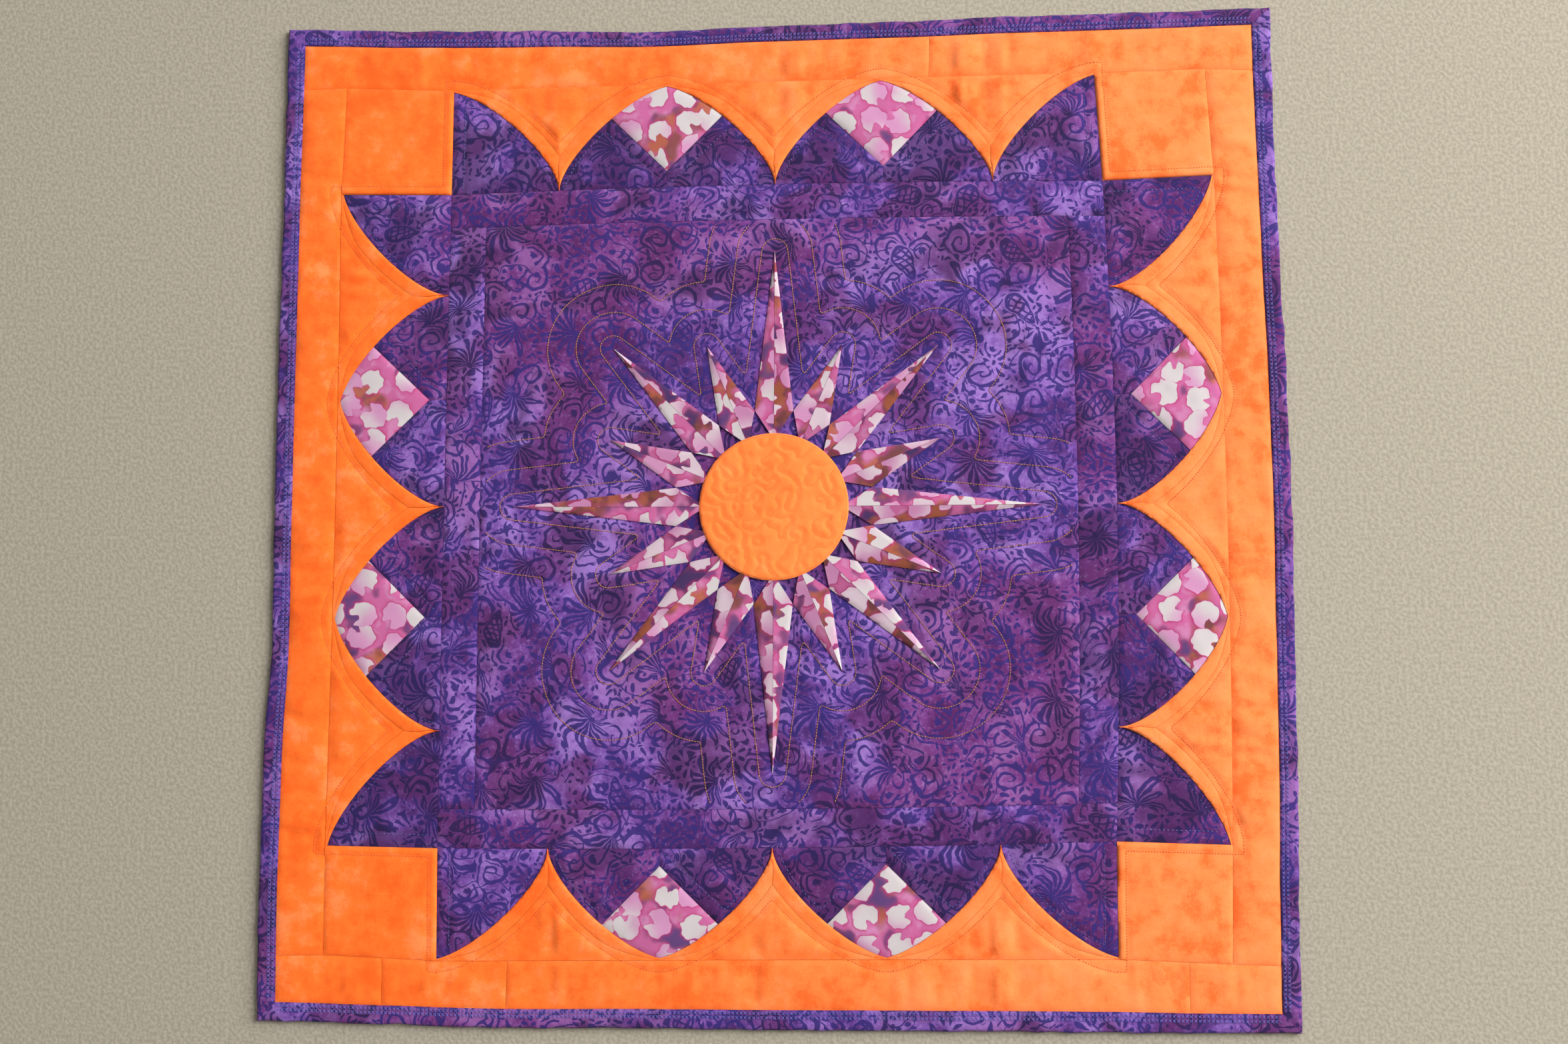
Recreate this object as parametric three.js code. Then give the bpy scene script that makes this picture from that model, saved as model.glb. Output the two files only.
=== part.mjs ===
// A quilted wall hanging, lying flat with its face up: a patchwork top in purple, orange and pink cotton
// on a padded back, with a scalloped petal border and a folded binding round the edge.
// Millimetres. X runs across the hanging, Y towards its top edge and Z up out of its face.
// The origin is the middle of the back, which lies flat on Z = 0.
import * as THREE from "three";

// Sizes in the plane, from the middle outwards
const BLOCK = 76.2; // side of a corner square, and depth of the petal band
const INNER_STRIP = 25.4; // width of the plain strips round the middle panel
const OUTER_STRIP = 31.75; // width of the outer border strips
const BINDING_WIDTH = 12.7;
const FIELD = 3 * BLOCK; // half the side of the field that the petals stand on
const PANEL = FIELD - INNER_STRIP; // half the side of the middle panel
const BAND = FIELD + BLOCK; // half the side out to the border strips
const HALF = BAND + OUTER_STRIP + BINDING_WIDTH; // half the side of the hanging

// Sizes through the thickness
const GAP = 0.3; // between any two pieces
const SEAM = GAP / 2; // each piece stops this far short of its seam
const CLOTH = 1; // a layer of cloth with its seam allowances
const BODY_TOP = 2.4; // top of the padded back
const PATCH_BASE = BODY_TOP + GAP; // underside of the patchwork
const PUFF = 0.8; // how far quilted cloth swells between its seams
const PANEL_HEIGHT = 1.3; // the middle panel lies nearly flat under the star

// Petals: one flank runs from the notch between two petals to a petal's tip, as a Bezier curve
const FLANK = new THREE.CubicBezierCurve(
  new THREE.Vector2(0, 0),
  new THREE.Vector2(2, 24),
  new THREE.Vector2(47, 68),
  new THREE.Vector2(BLOCK, 74.8),
);
const SQUARE_FOOT = 12; // height of a tip square's lowest corner above the field
const SQUARE_INSET = 1.5; // a tip square starts this far inside its side corners
const NOTCH_START = 0.06; // share of the flank where the notch is wide enough to sew
const FLANK_SHARES = [0.14, 0.26, 0.39, 0.66, 0.77, 0.88, 1];

// The orange edge that is rolled back over the petals, by its distance from the flank
const ROLL_ROWS = [
  { distance: 0, height: 1.5 },
  { distance: 3.5, height: 2.3 },
  { distance: 9.5, height: 1.2 },
  { distance: 16, height: 1.7 },
];
const ROLL_ROOM = 26; // below this much room the rows close up
const PLEAT_HEIGHT = 2.6; // where two rolled edges meet in a notch

// The star in the middle: straight points of three lengths round a padded disc
const STAR_POINTS = 16;
const STAR_REACH = { cardinal: 180, diagonal: 158, between: 122 };
const STAR_VALLEY = 68;
const STAR_HEIGHT = { edge: 0.8, middle: 1.2 };
const DISC_RADIUS = 50.8;
const DISC_SPOKES = 32;
const DISC_RINGS = [
  { share: 1, height: 0.8 },
  { share: 0.95, height: 1.5 },
  { share: 0.7, height: 1.7 },
  { share: 0.4, height: 1.9 },
];
const STIPPLE = { depth: 0.25, pitch: 7 };

// Binding: its section, by depth in from the edge and height above the surface it lies on
const BINDING_SECTION = [
  { depth: 0.9, height: 0 },
  { depth: BINDING_WIDTH, height: 0 },
  { depth: BINDING_WIDTH, height: CLOTH },
  { depth: CLOTH, height: CLOTH },
  { depth: CLOTH, height: PATCH_BASE },
  { depth: BINDING_WIDTH, height: PATCH_BASE },
  { depth: BINDING_WIDTH, height: 3.6 },
  { depth: 9, height: 4 },
  { depth: 3, height: 4.2 },
  { depth: 0.8, height: 3.6 },
  { depth: 0, height: 2.4 },
  { depth: 0, height: 0.9 },
];
const BODY_EDGE = CLOTH + GAP; // the back stops this far inside the binding's edge
const BODY_REBATE = BINDING_WIDTH + GAP; // and is raised this far in, over the binding

// How the sewing has drifted. Each row gives how far the four edges stand out of the square at a
// share of the way along: left to right on the top and bottom, bottom to top on the sides.
const EDGE_DRIFT = [
  { along: -1, top: 1.4, bottom: -1.4, left: 1.5, right: -1.5 },
  { along: -0.75, top: -1.8, bottom: -0.2, left: 3.2, right: -0.5 },
  { along: -0.5, top: -3.5, bottom: 1.4, left: 2.7, right: 1.5 },
  { along: -0.25, top: -6.1, bottom: 0.5, left: -0.8, right: 2.2 },
  { along: 0, top: -3.7, bottom: 0.5, left: 0.6, right: 3.2 },
  { along: 0.25, top: -2.8, bottom: 0, left: 1.1, right: 2.2 },
  { along: 0.5, top: -0.8, bottom: -0.5, left: 1.1, right: -0.1 },
  { along: 0.75, top: 0, bottom: -0.6, left: 1.3, right: -1.3 },
  { along: 1, top: 1.4, bottom: -1.4, left: 1.5, right: -1.5 },
];
// Drift across and up where the seams of the layout cross: each row is a line across the hanging, from
// the lower border strip's seam, the field's lower edge, middle and upper edge, to the upper strip's seam.
const SEAM_DRIFT = [
  { farLeft: [-1, 1.2], left: [1, -2], middle: [0.6, 1], right: [1.1, 3.6], farRight: [-0.5, 1.2] },
  { farLeft: [-1.6, -1.7], left: [0, -3], middle: [0.2, -1.4], right: [1.6, 4.3], farRight: [1.6, 2.5] },
  { farLeft: [-1.2, 1.5], left: [-0.6, 2.6], middle: [1, 1.4], right: [6.5, 2.5], farRight: [4, 1.5] },
  { farLeft: [-3.5, -1.5], left: [0, -3], middle: [1.6, 1], right: [0.9, -0.5], farRight: [1.1, 2.1] },
  { farLeft: [-1.7, 1.1], left: [0.1, -2.5], middle: [0.5, -0.6], right: [-3.5, 1], farRight: [-2.9, 2.3] },
];

const SIDES = ["top", "left", "bottom", "right"]; // each a quarter turn on from the one before
const LENGTHWISE = 8; // steps along half of a border strip
const STRIP_END = (BAND - SEAM) / (HALF - BODY_REBATE); // share where the side strips stop
const FIELD_END = FIELD / (HALF - BODY_REBATE); // share where the field stops

const ORANGE = cotton(0xff8526);
const PURPLE = cotton(0x54307f);
const PINK = cotton(0xd98ab8);
const BACKING = cotton(0x5b3a86);

function cotton(color) {
  return new THREE.MeshStandardMaterial({ color, roughness: 0.9, metalness: 0 });
}

// Shares from -1 to 1 at which every piece along the edge has its points, so that they run side by side.
function stationsAlong() {
  const shares = [-STRIP_END, -FIELD_END, FIELD_END, STRIP_END];
  for (let i = -LENGTHWISE; i <= LENGTHWISE; i++) shares.push(i / LENGTHWISE);
  return shares.sort((a, b) => a - b);
}

function edgeDrift(side, along) {
  const next = EDGE_DRIFT.findIndex((row) => row.along >= along);
  if (next < 1) return EDGE_DRIFT[along <= -1 ? 0 : EDGE_DRIFT.length - 1][side];
  const [a, b] = [EDGE_DRIFT[next - 1], EDGE_DRIFT[next]];
  const share = THREE.MathUtils.smoothstep(along, a.along, b.along);
  return THREE.MathUtils.lerp(a[side], b[side], share);
}

// Weights of the five seam lines at a place: curved over the field, straight across the petal band.
function seamWeights(place) {
  const share = place / FIELD;
  const out = THREE.MathUtils.clamp((Math.abs(place) - FIELD) / BLOCK, 0, 1);
  if (share < -1) return [out, 1 - out, 0, 0, 0];
  if (share > 1) return [0, 0, 0, 1 - out, out];
  return [0, (share * (share - 1)) / 2, 1 - share * share, (share * (share + 1)) / 2, 0];
}

function seamDrift(x, y) {
  const across = seamWeights(x);
  const up = seamWeights(y);
  const drift = new THREE.Vector2();
  SEAM_DRIFT.forEach(({ farLeft, left, middle, right, farRight }, i) => {
    [farLeft, left, middle, right, farRight].forEach(([dx, dy], j) => {
      drift.x += up[i] * across[j] * dx;
      drift.y += up[i] * across[j] * dy;
    });
  });
  return drift;
}

// Where a point of the planned layout really lies.
function settled(x, y) {
  const outward = (place) => THREE.MathUtils.clamp((place - BAND) / (HALF - BAND), 0, 1);
  const drift = seamDrift(x, y);
  const keep = 1 - outward(Math.max(Math.abs(x), Math.abs(y)));
  const along = { x: x / HALF, y: y / HALF };
  const right = outward(x) * edgeDrift("right", along.y) - outward(-x) * edgeDrift("left", along.y);
  const upward = outward(y) * edgeDrift("top", along.x) - outward(-y) * edgeDrift("bottom", along.x);
  return new THREE.Vector2(x + keep * drift.x + right, y + keep * drift.y + upward);
}

// A point that is u along a side and v out from the middle, on any of the four sides.
function onSide(side, u, v) {
  const turned = { top: [u, v], left: [-v, u], bottom: [-u, -v], right: [v, -u] };
  return settled(...turned[side]);
}

// Slow, uneven swelling, from about -1 to 1, so that no two patches are alike.
function unevenness(place) {
  return 0.6 * Math.sin(place.x / 31 + 1.3) * Math.cos(place.y / 27) + 0.4 * Math.sin((place.x + place.y) / 17);
}

function lifted(place, height) {
  return new THREE.Vector3(place.x, place.y, height);
}

// Height of quilted cloth over a patch, from its shares across and along.
function quilted(place, s, t) {
  const swell = (1 - (2 * s - 1) ** 4) * (1 - (2 * t - 1) ** 4);
  return CLOTH + PUFF * swell * (0.85 + 0.15 * unevenness(place));
}

// Triangles of a grid of points, columns[i][j], that face up where columns run right and rows run up.
function gridTriangles(columns) {
  const triangles = [];
  for (let i = 0; i + 1 < columns.length; i++) {
    for (let j = 0; j + 1 < columns[i].length; j++) {
      const [a, b] = [columns[i][j], columns[i + 1][j]];
      const [c, d] = [columns[i + 1][j + 1], columns[i][j + 1]];
      triangles.push([a, b, c], [a, c, d]);
    }
  }
  return triangles;
}

function geometryOf(triangles) {
  const points = triangles.flat();
  const geometry = new THREE.BufferGeometry().setFromPoints(points);
  geometry.computeVertexNormals();
  return geometry;
}

// A closed piece of cloth: the given upper face, the same face flat at the base, and a wall round its rim.
function clothGeometry(upper, base) {
  const key = (p) => `${p.x.toFixed(3)},${p.y.toFixed(3)}`;
  const down = (p) => new THREE.Vector3(p.x, p.y, base);
  const rim = new Map();
  for (const corners of upper) {
    corners.forEach((from, i) => {
      const to = corners[(i + 1) % 3];
      const back = `${key(to)}>${key(from)}`;
      if (rim.has(back)) rim.delete(back);
      else rim.set(`${key(from)}>${key(to)}`, [from, to]);
    });
  }
  const triangles = [...upper];
  for (const [a, b, c] of upper) triangles.push([down(a), down(c), down(b)]);
  for (const [from, to] of rim.values()) {
    triangles.push([down(from), down(to), to], [down(from), to, from]);
  }
  return geometryOf(triangles);
}

// A closed shape from rings of points, each joined to the next, with a single point at either end.
function ringGeometry(top, rings, bottom) {
  const triangles = [];
  const count = rings[0].length;
  for (let i = 0; i < count; i++) {
    const next = (i + 1) % count;
    triangles.push([top, rings[0][i], rings[0][next]]);
    for (let k = 0; k + 1 < rings.length; k++) {
      const [a, b] = [rings[k][i], rings[k][next]];
      const [c, d] = [rings[k + 1][next], rings[k + 1][i]];
      triangles.push([a, d, c], [a, c, b]);
    }
    const last = rings[rings.length - 1];
    triangles.push([bottom, last[next], last[i]]);
  }
  return geometryOf(triangles);
}

const hanging = new THREE.Group();

function addPiece(name, geometry, material) {
  const piece = new THREE.Mesh(geometry, material);
  piece.name = name;
  hanging.add(piece);
}

// A quilted patch between two lists of places that face each other, near and far.
function addPatch(name, material, near, far, rows, heightAt) {
  const columns = near.map((start, i) => {
    const s = i / (near.length - 1);
    return rows.map((t) => {
      const place = start.clone().lerp(far[i], t);
      return lifted(place, PATCH_BASE + heightAt(place, s, t));
    });
  });
  addPiece(name, clothGeometry(gridTriangles(columns), PATCH_BASE), material);
}

// Padded back: one flat sheet, raised round its rim to lie over the folded-under edge of the binding.
function addBody() {
  const ring = (inset, height) => {
    const corner = HALF - inset;
    const points = [];
    for (const side of ["bottom", "right", "top", "left"]) {
      for (const share of stationsAlong().slice(0, -1)) {
        points.push(lifted(onSide(side, -share * corner, corner), height));
      }
    }
    return points;
  };
  const rings = [
    ring(BODY_EDGE, BODY_TOP),
    ring(BODY_EDGE, CLOTH + GAP),
    ring(BODY_REBATE, CLOTH + GAP),
    ring(BODY_REBATE, 0),
  ];
  const middle = settled(0, 0);
  addPiece("padded_back", ringGeometry(lifted(middle, BODY_TOP), rings, lifted(middle, 0)), BACKING);
}

// Binding: a strip folded over each edge, mitred at the corners.
function addBinding(side) {
  const outline = BINDING_SECTION.map(({ depth, height }) => new THREE.Vector2(depth, height));
  const sections = stationsAlong().map((share) =>
    BINDING_SECTION.map(({ depth, height }) => {
      const along = share * (HALF - depth - GAP);
      return lifted(onSide(side, along, HALF - depth), height);
    }),
  );
  const triangles = [];
  const count = outline.length;
  for (let i = 0; i + 1 < sections.length; i++) {
    for (let k = 0; k < count; k++) {
      const next = (k + 1) % count;
      const [a, b] = [sections[i][k], sections[i][next]];
      const [c, d] = [sections[i + 1][next], sections[i + 1][k]];
      triangles.push([a, c, b], [a, d, c]);
    }
  }
  const last = sections[sections.length - 1];
  for (const [a, b, c] of THREE.ShapeUtils.triangulateShape(outline, [])) {
    triangles.push([sections[0][a], sections[0][b], sections[0][c]]);
    triangles.push([last[a], last[c], last[b]]);
  }
  addPiece(`binding_${side}`, geometryOf(triangles), PURPLE);
}

// Outer border: strips along the top and bottom run the whole width, and the side strips fit between them.
function addBorderStrip(side) {
  const between = side === "left" || side === "right";
  const outer = HALF - BODY_REBATE;
  const shares = stationsAlong().filter((share) => !between || Math.abs(share) <= STRIP_END);
  const near = shares.map((share) => onSide(side, share * outer, BAND + SEAM));
  const far = shares.map((share) => onSide(side, share * outer, outer));
  addPatch(`border_strip_${side}`, ORANGE, near, far, [0, 0.2, 0.75, 1], quilted);
}

const even = (steps) => Array.from({ length: steps + 1 }, (_, i) => i / steps);

// A plain rectangle of the layout, from its lower left to its upper right corner on one side.
function addRectangle(name, material, side, low, high, steps, rows, heightAt) {
  const across = even(steps).map((s) => THREE.MathUtils.lerp(low.x + SEAM, high.x - SEAM, s));
  const near = across.map((u) => onSide(side, u, low.y + SEAM));
  const far = across.map((u) => onSide(side, u, high.y - SEAM));
  addPatch(name, material, near, far, rows, heightAt);
}

function addCornerSquare(side) {
  const low = new THREE.Vector2(FIELD, FIELD);
  const high = new THREE.Vector2(BAND, BAND);
  addRectangle(`corner_square_${side}`, ORANGE, side, low, high, 4, even(4), quilted);
}

// Plain strips round the panel: those along the top and bottom run the whole width of the field.
function addInnerStrip(side) {
  const reach = side === "left" || side === "right" ? PANEL : FIELD;
  const low = new THREE.Vector2(-reach, PANEL);
  const high = new THREE.Vector2(reach, FIELD);
  addRectangle(`inner_strip_${side}`, PURPLE, side, low, high, 12, even(3), quilted);
}

function addPanel() {
  const corner = new THREE.Vector2(PANEL, PANEL);
  const flat = (place, s, t) => Math.min(quilted(place, s, t), PANEL_HEIGHT);
  addRectangle("middle_panel", PURPLE, "top", corner.clone().negate(), corner, 12, even(12), flat);
}

// A place on a flank, moved a little out of the petal, with the direction that leads out of it.
function flankAt(share, outward) {
  const tangent = FLANK.getTangent(share);
  const normal = new THREE.Vector2(-tangent.y, tangent.x);
  return { place: FLANK.getPoint(share).addScaledVector(normal, outward), normal };
}

// How far the orange reaches from the flank, to the middle of the notch or to the border strip's seam.
function roomAt(share) {
  const { place, normal } = flankAt(share, SEAM);
  const toMiddle = place.x / -normal.x;
  const toStrip = (BLOCK - SEAM - place.y) / normal.y;
  return { room: Math.min(toMiddle, toStrip), meetsStrip: toStrip < toMiddle };
}

// The share of the flank where a test that fails before it first holds.
function shareWhere(holds) {
  let [low, high] = [NOTCH_START, 1];
  while (high - low > 1e-7) {
    const middle = (low + high) / 2;
    if (holds(middle)) high = middle;
    else low = middle;
  }
  return high;
}

// Shares of the flank at which the orange edge, the petal and the tip square all have their points.
const SQUARE_SHARE = shareWhere((share) => {
  const { x, y } = FLANK.getPoint(share);
  return y > SQUARE_FOOT + BLOCK - x;
});
const STRIP_SHARE = shareWhere((share) => roomAt(share).meetsStrip);
const FLANK_STEPS = [NOTCH_START, SQUARE_SHARE, STRIP_SHARE, ...FLANK_SHARES].sort((a, b) => a - b);

// One half of an orange spandrel, from the notch to a tip, right of the notch or mirrored to its left.
function spandrelHalf(side, notch, mirror) {
  const columns = FLANK_STEPS.map((share) => {
    const { place, normal } = flankAt(share, SEAM);
    const { room, meetsStrip } = roomAt(share);
    const close = Math.min(1, room / ROLL_ROOM);
    const end = { distance: room, height: meetsStrip ? CLOTH : THREE.MathUtils.lerp(PLEAT_HEIGHT, CLOTH + PUFF, close) };
    const rows = ROLL_ROWS.map((row) => ({ ...row, distance: row.distance * close })).concat(end);
    return rows.map(({ distance, height }) => {
      const local = place.clone().addScaledVector(normal, distance);
      const across = meetsStrip || distance < room ? local.x : 0;
      return lifted(onSide(side, notch + mirror * across, FIELD + local.y), PATCH_BASE + height);
    });
  });
  return gridTriangles(mirror > 0 ? columns : columns.reverse());
}

// Orange spandrel between two petals, with its edge rolled back over both of them.
function addSpandrel(side, index, notch) {
  const upper = [...spandrelHalf(side, notch, 1), ...spandrelHalf(side, notch, -1)];
  addPiece(`spandrel_${side}_${index}`, clothGeometry(upper, PATCH_BASE), ORANGE);
}

// Places on a petal's rim left of its tip, from the notch to the tip, measured from the petal's middle.
function petalRim() {
  return FLANK_STEPS.map((share) => {
    const { place } = flankAt(share, -SEAM);
    return new THREE.Vector2(Math.min(place.x - BLOCK, 0), place.y);
  });
}

const mirrored = (places) => places.map(({ x, y }) => new THREE.Vector2(-x, y)).reverse();

const wholeRim = () => [...petalRim(), ...mirrored(petalRim()).slice(1)];

// Purple part of a petal, up to its rim and to the lower edges of its tip square.
function addPetal(side, index, middle) {
  const square = ({ x }) => SQUARE_FOOT + Math.abs(x) - SEAM * Math.SQRT2;
  const rim = wholeRim().map((p) => new THREE.Vector2(p.x, Math.min(p.y, square(p))));
  const near = rim.map(({ x }) => onSide(side, middle + x, FIELD + SEAM));
  const far = rim.map(({ x, y }) => onSide(side, middle + x, FIELD + y));
  addPatch(`petal_${side}_${index}`, PURPLE, near, far, even(3), quilted);
}

// Pink square set on its corner in the tip of a petal, with its outer corner rounded by the petal's rim.
function addTipSquare(side, index, middle) {
  const foot = ({ x }) => SQUARE_FOOT + Math.abs(x) + SEAM * Math.SQRT2;
  const rim = wholeRim().filter((p) => p.y - foot(p) > SQUARE_INSET);
  const near = rim.map((p) => onSide(side, middle + p.x, FIELD + foot(p)));
  const far = rim.map((p) => onSide(side, middle + p.x, FIELD + p.y));
  addPatch(`tip_square_${side}_${index}`, PINK, near, far, even(3), quilted);
}

// Half a petal beside a corner square: its straight edge is the petal's middle line.
function addHalfPetal(side, name, corner, mirror) {
  const rim = petalRim().map(({ x, y }) => new THREE.Vector2(Math.min(x, -SEAM), y));
  const ordered = mirror > 0 ? rim : mirrored(rim);
  const near = ordered.map(({ x }) => onSide(side, corner + x, FIELD + SEAM));
  const far = ordered.map(({ x, y }) => onSide(side, corner + x, FIELD + y));
  addPatch(`half_petal_${side}_${name}`, PURPLE, near, far, even(3), quilted);
}

function starReach(point) {
  if (point % 2) return STAR_REACH.between;
  return point % 4 ? STAR_REACH.diagonal : STAR_REACH.cardinal;
}

// Star: straight points sewn flat on the panel, alternately long and short, all in one piece.
function addStar() {
  const base = PATCH_BASE + PANEL_HEIGHT + GAP;
  const corner = (reach, turns, height) => {
    const angle = 2 * Math.PI * turns;
    return lifted(settled(reach * Math.cos(angle), reach * Math.sin(angle)), base + height);
  };
  const ring = (height, reachOf) => {
    const points = [];
    for (let i = 0; i < STAR_POINTS; i++) {
      points.push(corner(reachOf(starReach(i)), i / STAR_POINTS, height));
      points.push(corner(STAR_VALLEY, (i + 0.5) / STAR_POINTS, height));
    }
    return points;
  };
  const inner = (height) => even(2 * STAR_POINTS - 1).map((_, i) => corner(DISC_RADIUS, i / (2 * STAR_POINTS), height));
  const whole = (reach) => reach;
  const rings = [inner(STAR_HEIGHT.middle), ring(STAR_HEIGHT.edge, whole), ring(0, whole)];
  const middle = settled(0, 0);
  const top = lifted(middle, base + STAR_HEIGHT.middle);
  addPiece("compass_star", ringGeometry(top, rings, lifted(middle, base)), PINK);
}

// Disc: a padded round of orange over the star's middle, dimpled all over by stipple quilting.
function addDisc() {
  const base = PATCH_BASE + PANEL_HEIGHT + STAR_HEIGHT.middle + 2 * GAP;
  const ring = (share, height) =>
    even(DISC_SPOKES - 1).map((_, i) => {
      const angle = (2 * Math.PI * i) / DISC_SPOKES;
      const place = settled(share * DISC_RADIUS * Math.cos(angle), share * DISC_RADIUS * Math.sin(angle));
      const dimple = Math.sin(place.x / STIPPLE.pitch) * Math.sin(place.y / STIPPLE.pitch + 1);
      return lifted(place, base + height - (height > 1 ? STIPPLE.depth * Math.abs(dimple) : 0));
    });
  const rings = [...DISC_RINGS].reverse().map(({ share, height }) => ring(share, height));
  const middle = settled(0, 0);
  const top = lifted(middle, base + DISC_RINGS.at(-1).height);
  addPiece("padded_disc", ringGeometry(top, [...rings, ring(1, 0)], lifted(middle, base)), ORANGE);
}

addBody();
addPanel();
addStar();
addDisc();
for (const side of SIDES) {
  addInnerStrip(side);
  addHalfPetal(side, "right", FIELD, 1);
  addHalfPetal(side, "left", -FIELD, -1);
  [-BLOCK, BLOCK].forEach((middle, i) => {
    addPetal(side, i + 1, middle);
    addTipSquare(side, i + 1, middle);
  });
  [-2 * BLOCK, 0, 2 * BLOCK].forEach((notch, i) => addSpandrel(side, i + 1, notch));
  addCornerSquare(side);
  addBorderStrip(side);
  addBinding(side);
}

export default hanging;
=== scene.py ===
"""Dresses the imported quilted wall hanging: its cloths, prints, folds and stitches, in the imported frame."""

import math

import bpy
import numpy as np
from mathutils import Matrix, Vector, kdtree
from mathutils.bvhtree import BVHTree
from mathutils.geometry import delaunay_2d_cdt


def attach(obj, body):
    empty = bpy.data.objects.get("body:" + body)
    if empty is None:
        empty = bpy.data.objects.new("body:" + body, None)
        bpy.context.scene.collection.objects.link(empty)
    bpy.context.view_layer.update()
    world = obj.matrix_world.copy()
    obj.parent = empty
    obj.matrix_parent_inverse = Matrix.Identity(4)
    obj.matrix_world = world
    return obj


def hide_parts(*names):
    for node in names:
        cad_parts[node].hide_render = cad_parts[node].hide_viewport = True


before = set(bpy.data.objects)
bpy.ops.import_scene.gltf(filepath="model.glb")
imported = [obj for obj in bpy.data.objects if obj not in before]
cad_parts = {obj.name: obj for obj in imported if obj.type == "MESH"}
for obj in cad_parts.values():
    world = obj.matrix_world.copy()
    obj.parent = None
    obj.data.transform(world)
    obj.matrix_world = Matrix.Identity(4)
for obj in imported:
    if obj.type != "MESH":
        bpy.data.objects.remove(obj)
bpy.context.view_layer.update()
scene = bpy.context.scene
scene.view_settings.view_transform = "Standard"

# Camera: above the hanging and a little to its lower right, tilted towards its middle, with a short lens.
camera_data = bpy.data.cameras.new("camera")
camera_data.sensor_width = 36
camera_data.lens = 36
camera = bpy.data.objects.new("camera", camera_data)
camera.location = (0.0676, -0.1169, 1.0744)
camera.rotation_euler = [math.radians(turn) for turn in (5.732, 3.18, 0.022)]
scene.collection.objects.link(camera)
scene.camera = camera

# Light: a wide soft lamp up to the right, a weaker one to the left, and an even glow from all round.
LAMPS = [
    {"name": "main lamp", "place": (3.35, 1.67, 2.25), "size": 3.2, "watts": 560},
    {"name": "fill lamp", "place": (-1.6, -0.6, 2.2), "size": 2.2, "watts": 9},
]
GLOW = {"Color": (1, 0.985, 0.96, 1), "Strength": 0.34}
for lamp in LAMPS:
    lamp_data = bpy.data.lights.new(lamp["name"], "AREA")
    lamp_data.size = lamp["size"]
    lamp_data.energy = lamp["watts"]
    lamp_object = bpy.data.objects.new(lamp["name"], lamp_data)
    lamp_object.location = lamp["place"]
    lamp_object.rotation_euler = (-Vector(lamp["place"])).to_track_quat("-Z", "Y").to_euler()
    scene.collection.objects.link(lamp_object)
scene.world = bpy.data.worlds.new("glow")
scene.world.use_nodes = True
for name, value in GLOW.items():
    scene.world.node_tree.nodes["Background"].inputs[name].default_value = value

# Floor: the plain pale surface that the hanging lies on, a matt sheet with a faint grain.
FLOOR_CORNERS = [(-3, -3), (3, -3), (3, 3), (-3, 3)]
FLOOR_HEIGHT = -0.0003


def maths(operation):
    """A function that adds a Math node, fed by a signal and then by any other values."""

    def add(signal, *values):
        sockets = dict(enumerate([signal, *values]))
        return signal.finish.node("Math", {"operation": operation}, sockets)

    return add


class Signal:
    """A value in a finish's node tree. Arithmetic on it adds Math nodes."""

    __add__ = __radd__ = maths("ADD")
    __sub__ = maths("SUBTRACT")
    __mul__ = __rmul__ = maths("MULTIPLY")
    __truediv__ = maths("DIVIDE")
    __lt__ = maths("LESS_THAN")
    __gt__ = maths("GREATER_THAN")
    __abs__ = maths("ABSOLUTE")

    def __init__(self, finish, socket):
        self.finish = finish
        self.socket = socket

    def __rsub__(self, value):
        return self.finish.node("Math", {"operation": "SUBTRACT"}, {0: value, 1: self})

    def other(self, output):
        return Signal(self.finish, self.socket.node.outputs[output])


class Finish:
    """A material: a node tree that ends in one shader, whose plain values are set here."""

    def __init__(self, name, plain):
        self.material = bpy.data.materials.new(name)
        self.material.use_nodes = True
        self.tree = self.material.node_tree
        self.shader = self.tree.nodes["Principled BSDF"]
        for socket, value in plain.items():
            self.shader.inputs[socket].default_value = value

    def node(self, kind, settings, sockets, output=0):
        made = self.tree.nodes.new("ShaderNode" + kind)
        for name, value in settings.items():
            setattr(made, name, value)
        for key, value in sockets.items():
            if isinstance(value, Signal):
                self.tree.links.new(value.socket, made.inputs[key])
            else:
                made.inputs[key].default_value = value
        return Signal(self, made.outputs[output])

    def feed(self, socket, signal):
        self.tree.links.new(signal.socket, self.shader.inputs[socket])


def dye(code):
    """A colour for a shader, from its six-figure web code."""
    shares = [int(code[i : i + 2], 16) / 255 for i in (0, 2, 4)]
    return [c / 12.92 if c <= 0.04045 else ((c + 0.055) / 1.055) ** 2.4 for c in shares] + [1]


def blend(factor, *colours):
    """A mix of two colours, each given as a signal or a web code."""
    first, second = (dye(colour) if isinstance(colour, str) else colour for colour in colours)
    sockets = {0: factor, 6: first, 7: second}
    return factor.finish.node("Mix", {"data_type": "RGBA"}, sockets, 2)


def step(signal, low, high):
    """0 below low, 1 above high, and a smooth rise between them. High may be the smaller."""
    sockets = {"Value": signal, "From Min": low, "From Max": high}
    return signal.finish.node("MapRange", {"interpolation_type": "SMOOTHSTEP"}, sockets)


def mottle(place, scale, detail=2.0, roughness=0.5, output=0):
    sockets = {"Vector": place, "Scale": scale, "Detail": detail, "Roughness": roughness}
    return place.finish.node("TexNoise", {"noise_dimensions": "2D"}, sockets, output)


def swell(finish, height, distance):
    """Feeds a height, worth so many metres at 1, to a finish's normal."""
    bump = finish.node("Bump", {}, {"Strength": 1.0, "Distance": distance, "Height": height})
    finish.feed("Normal", bump)


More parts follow.
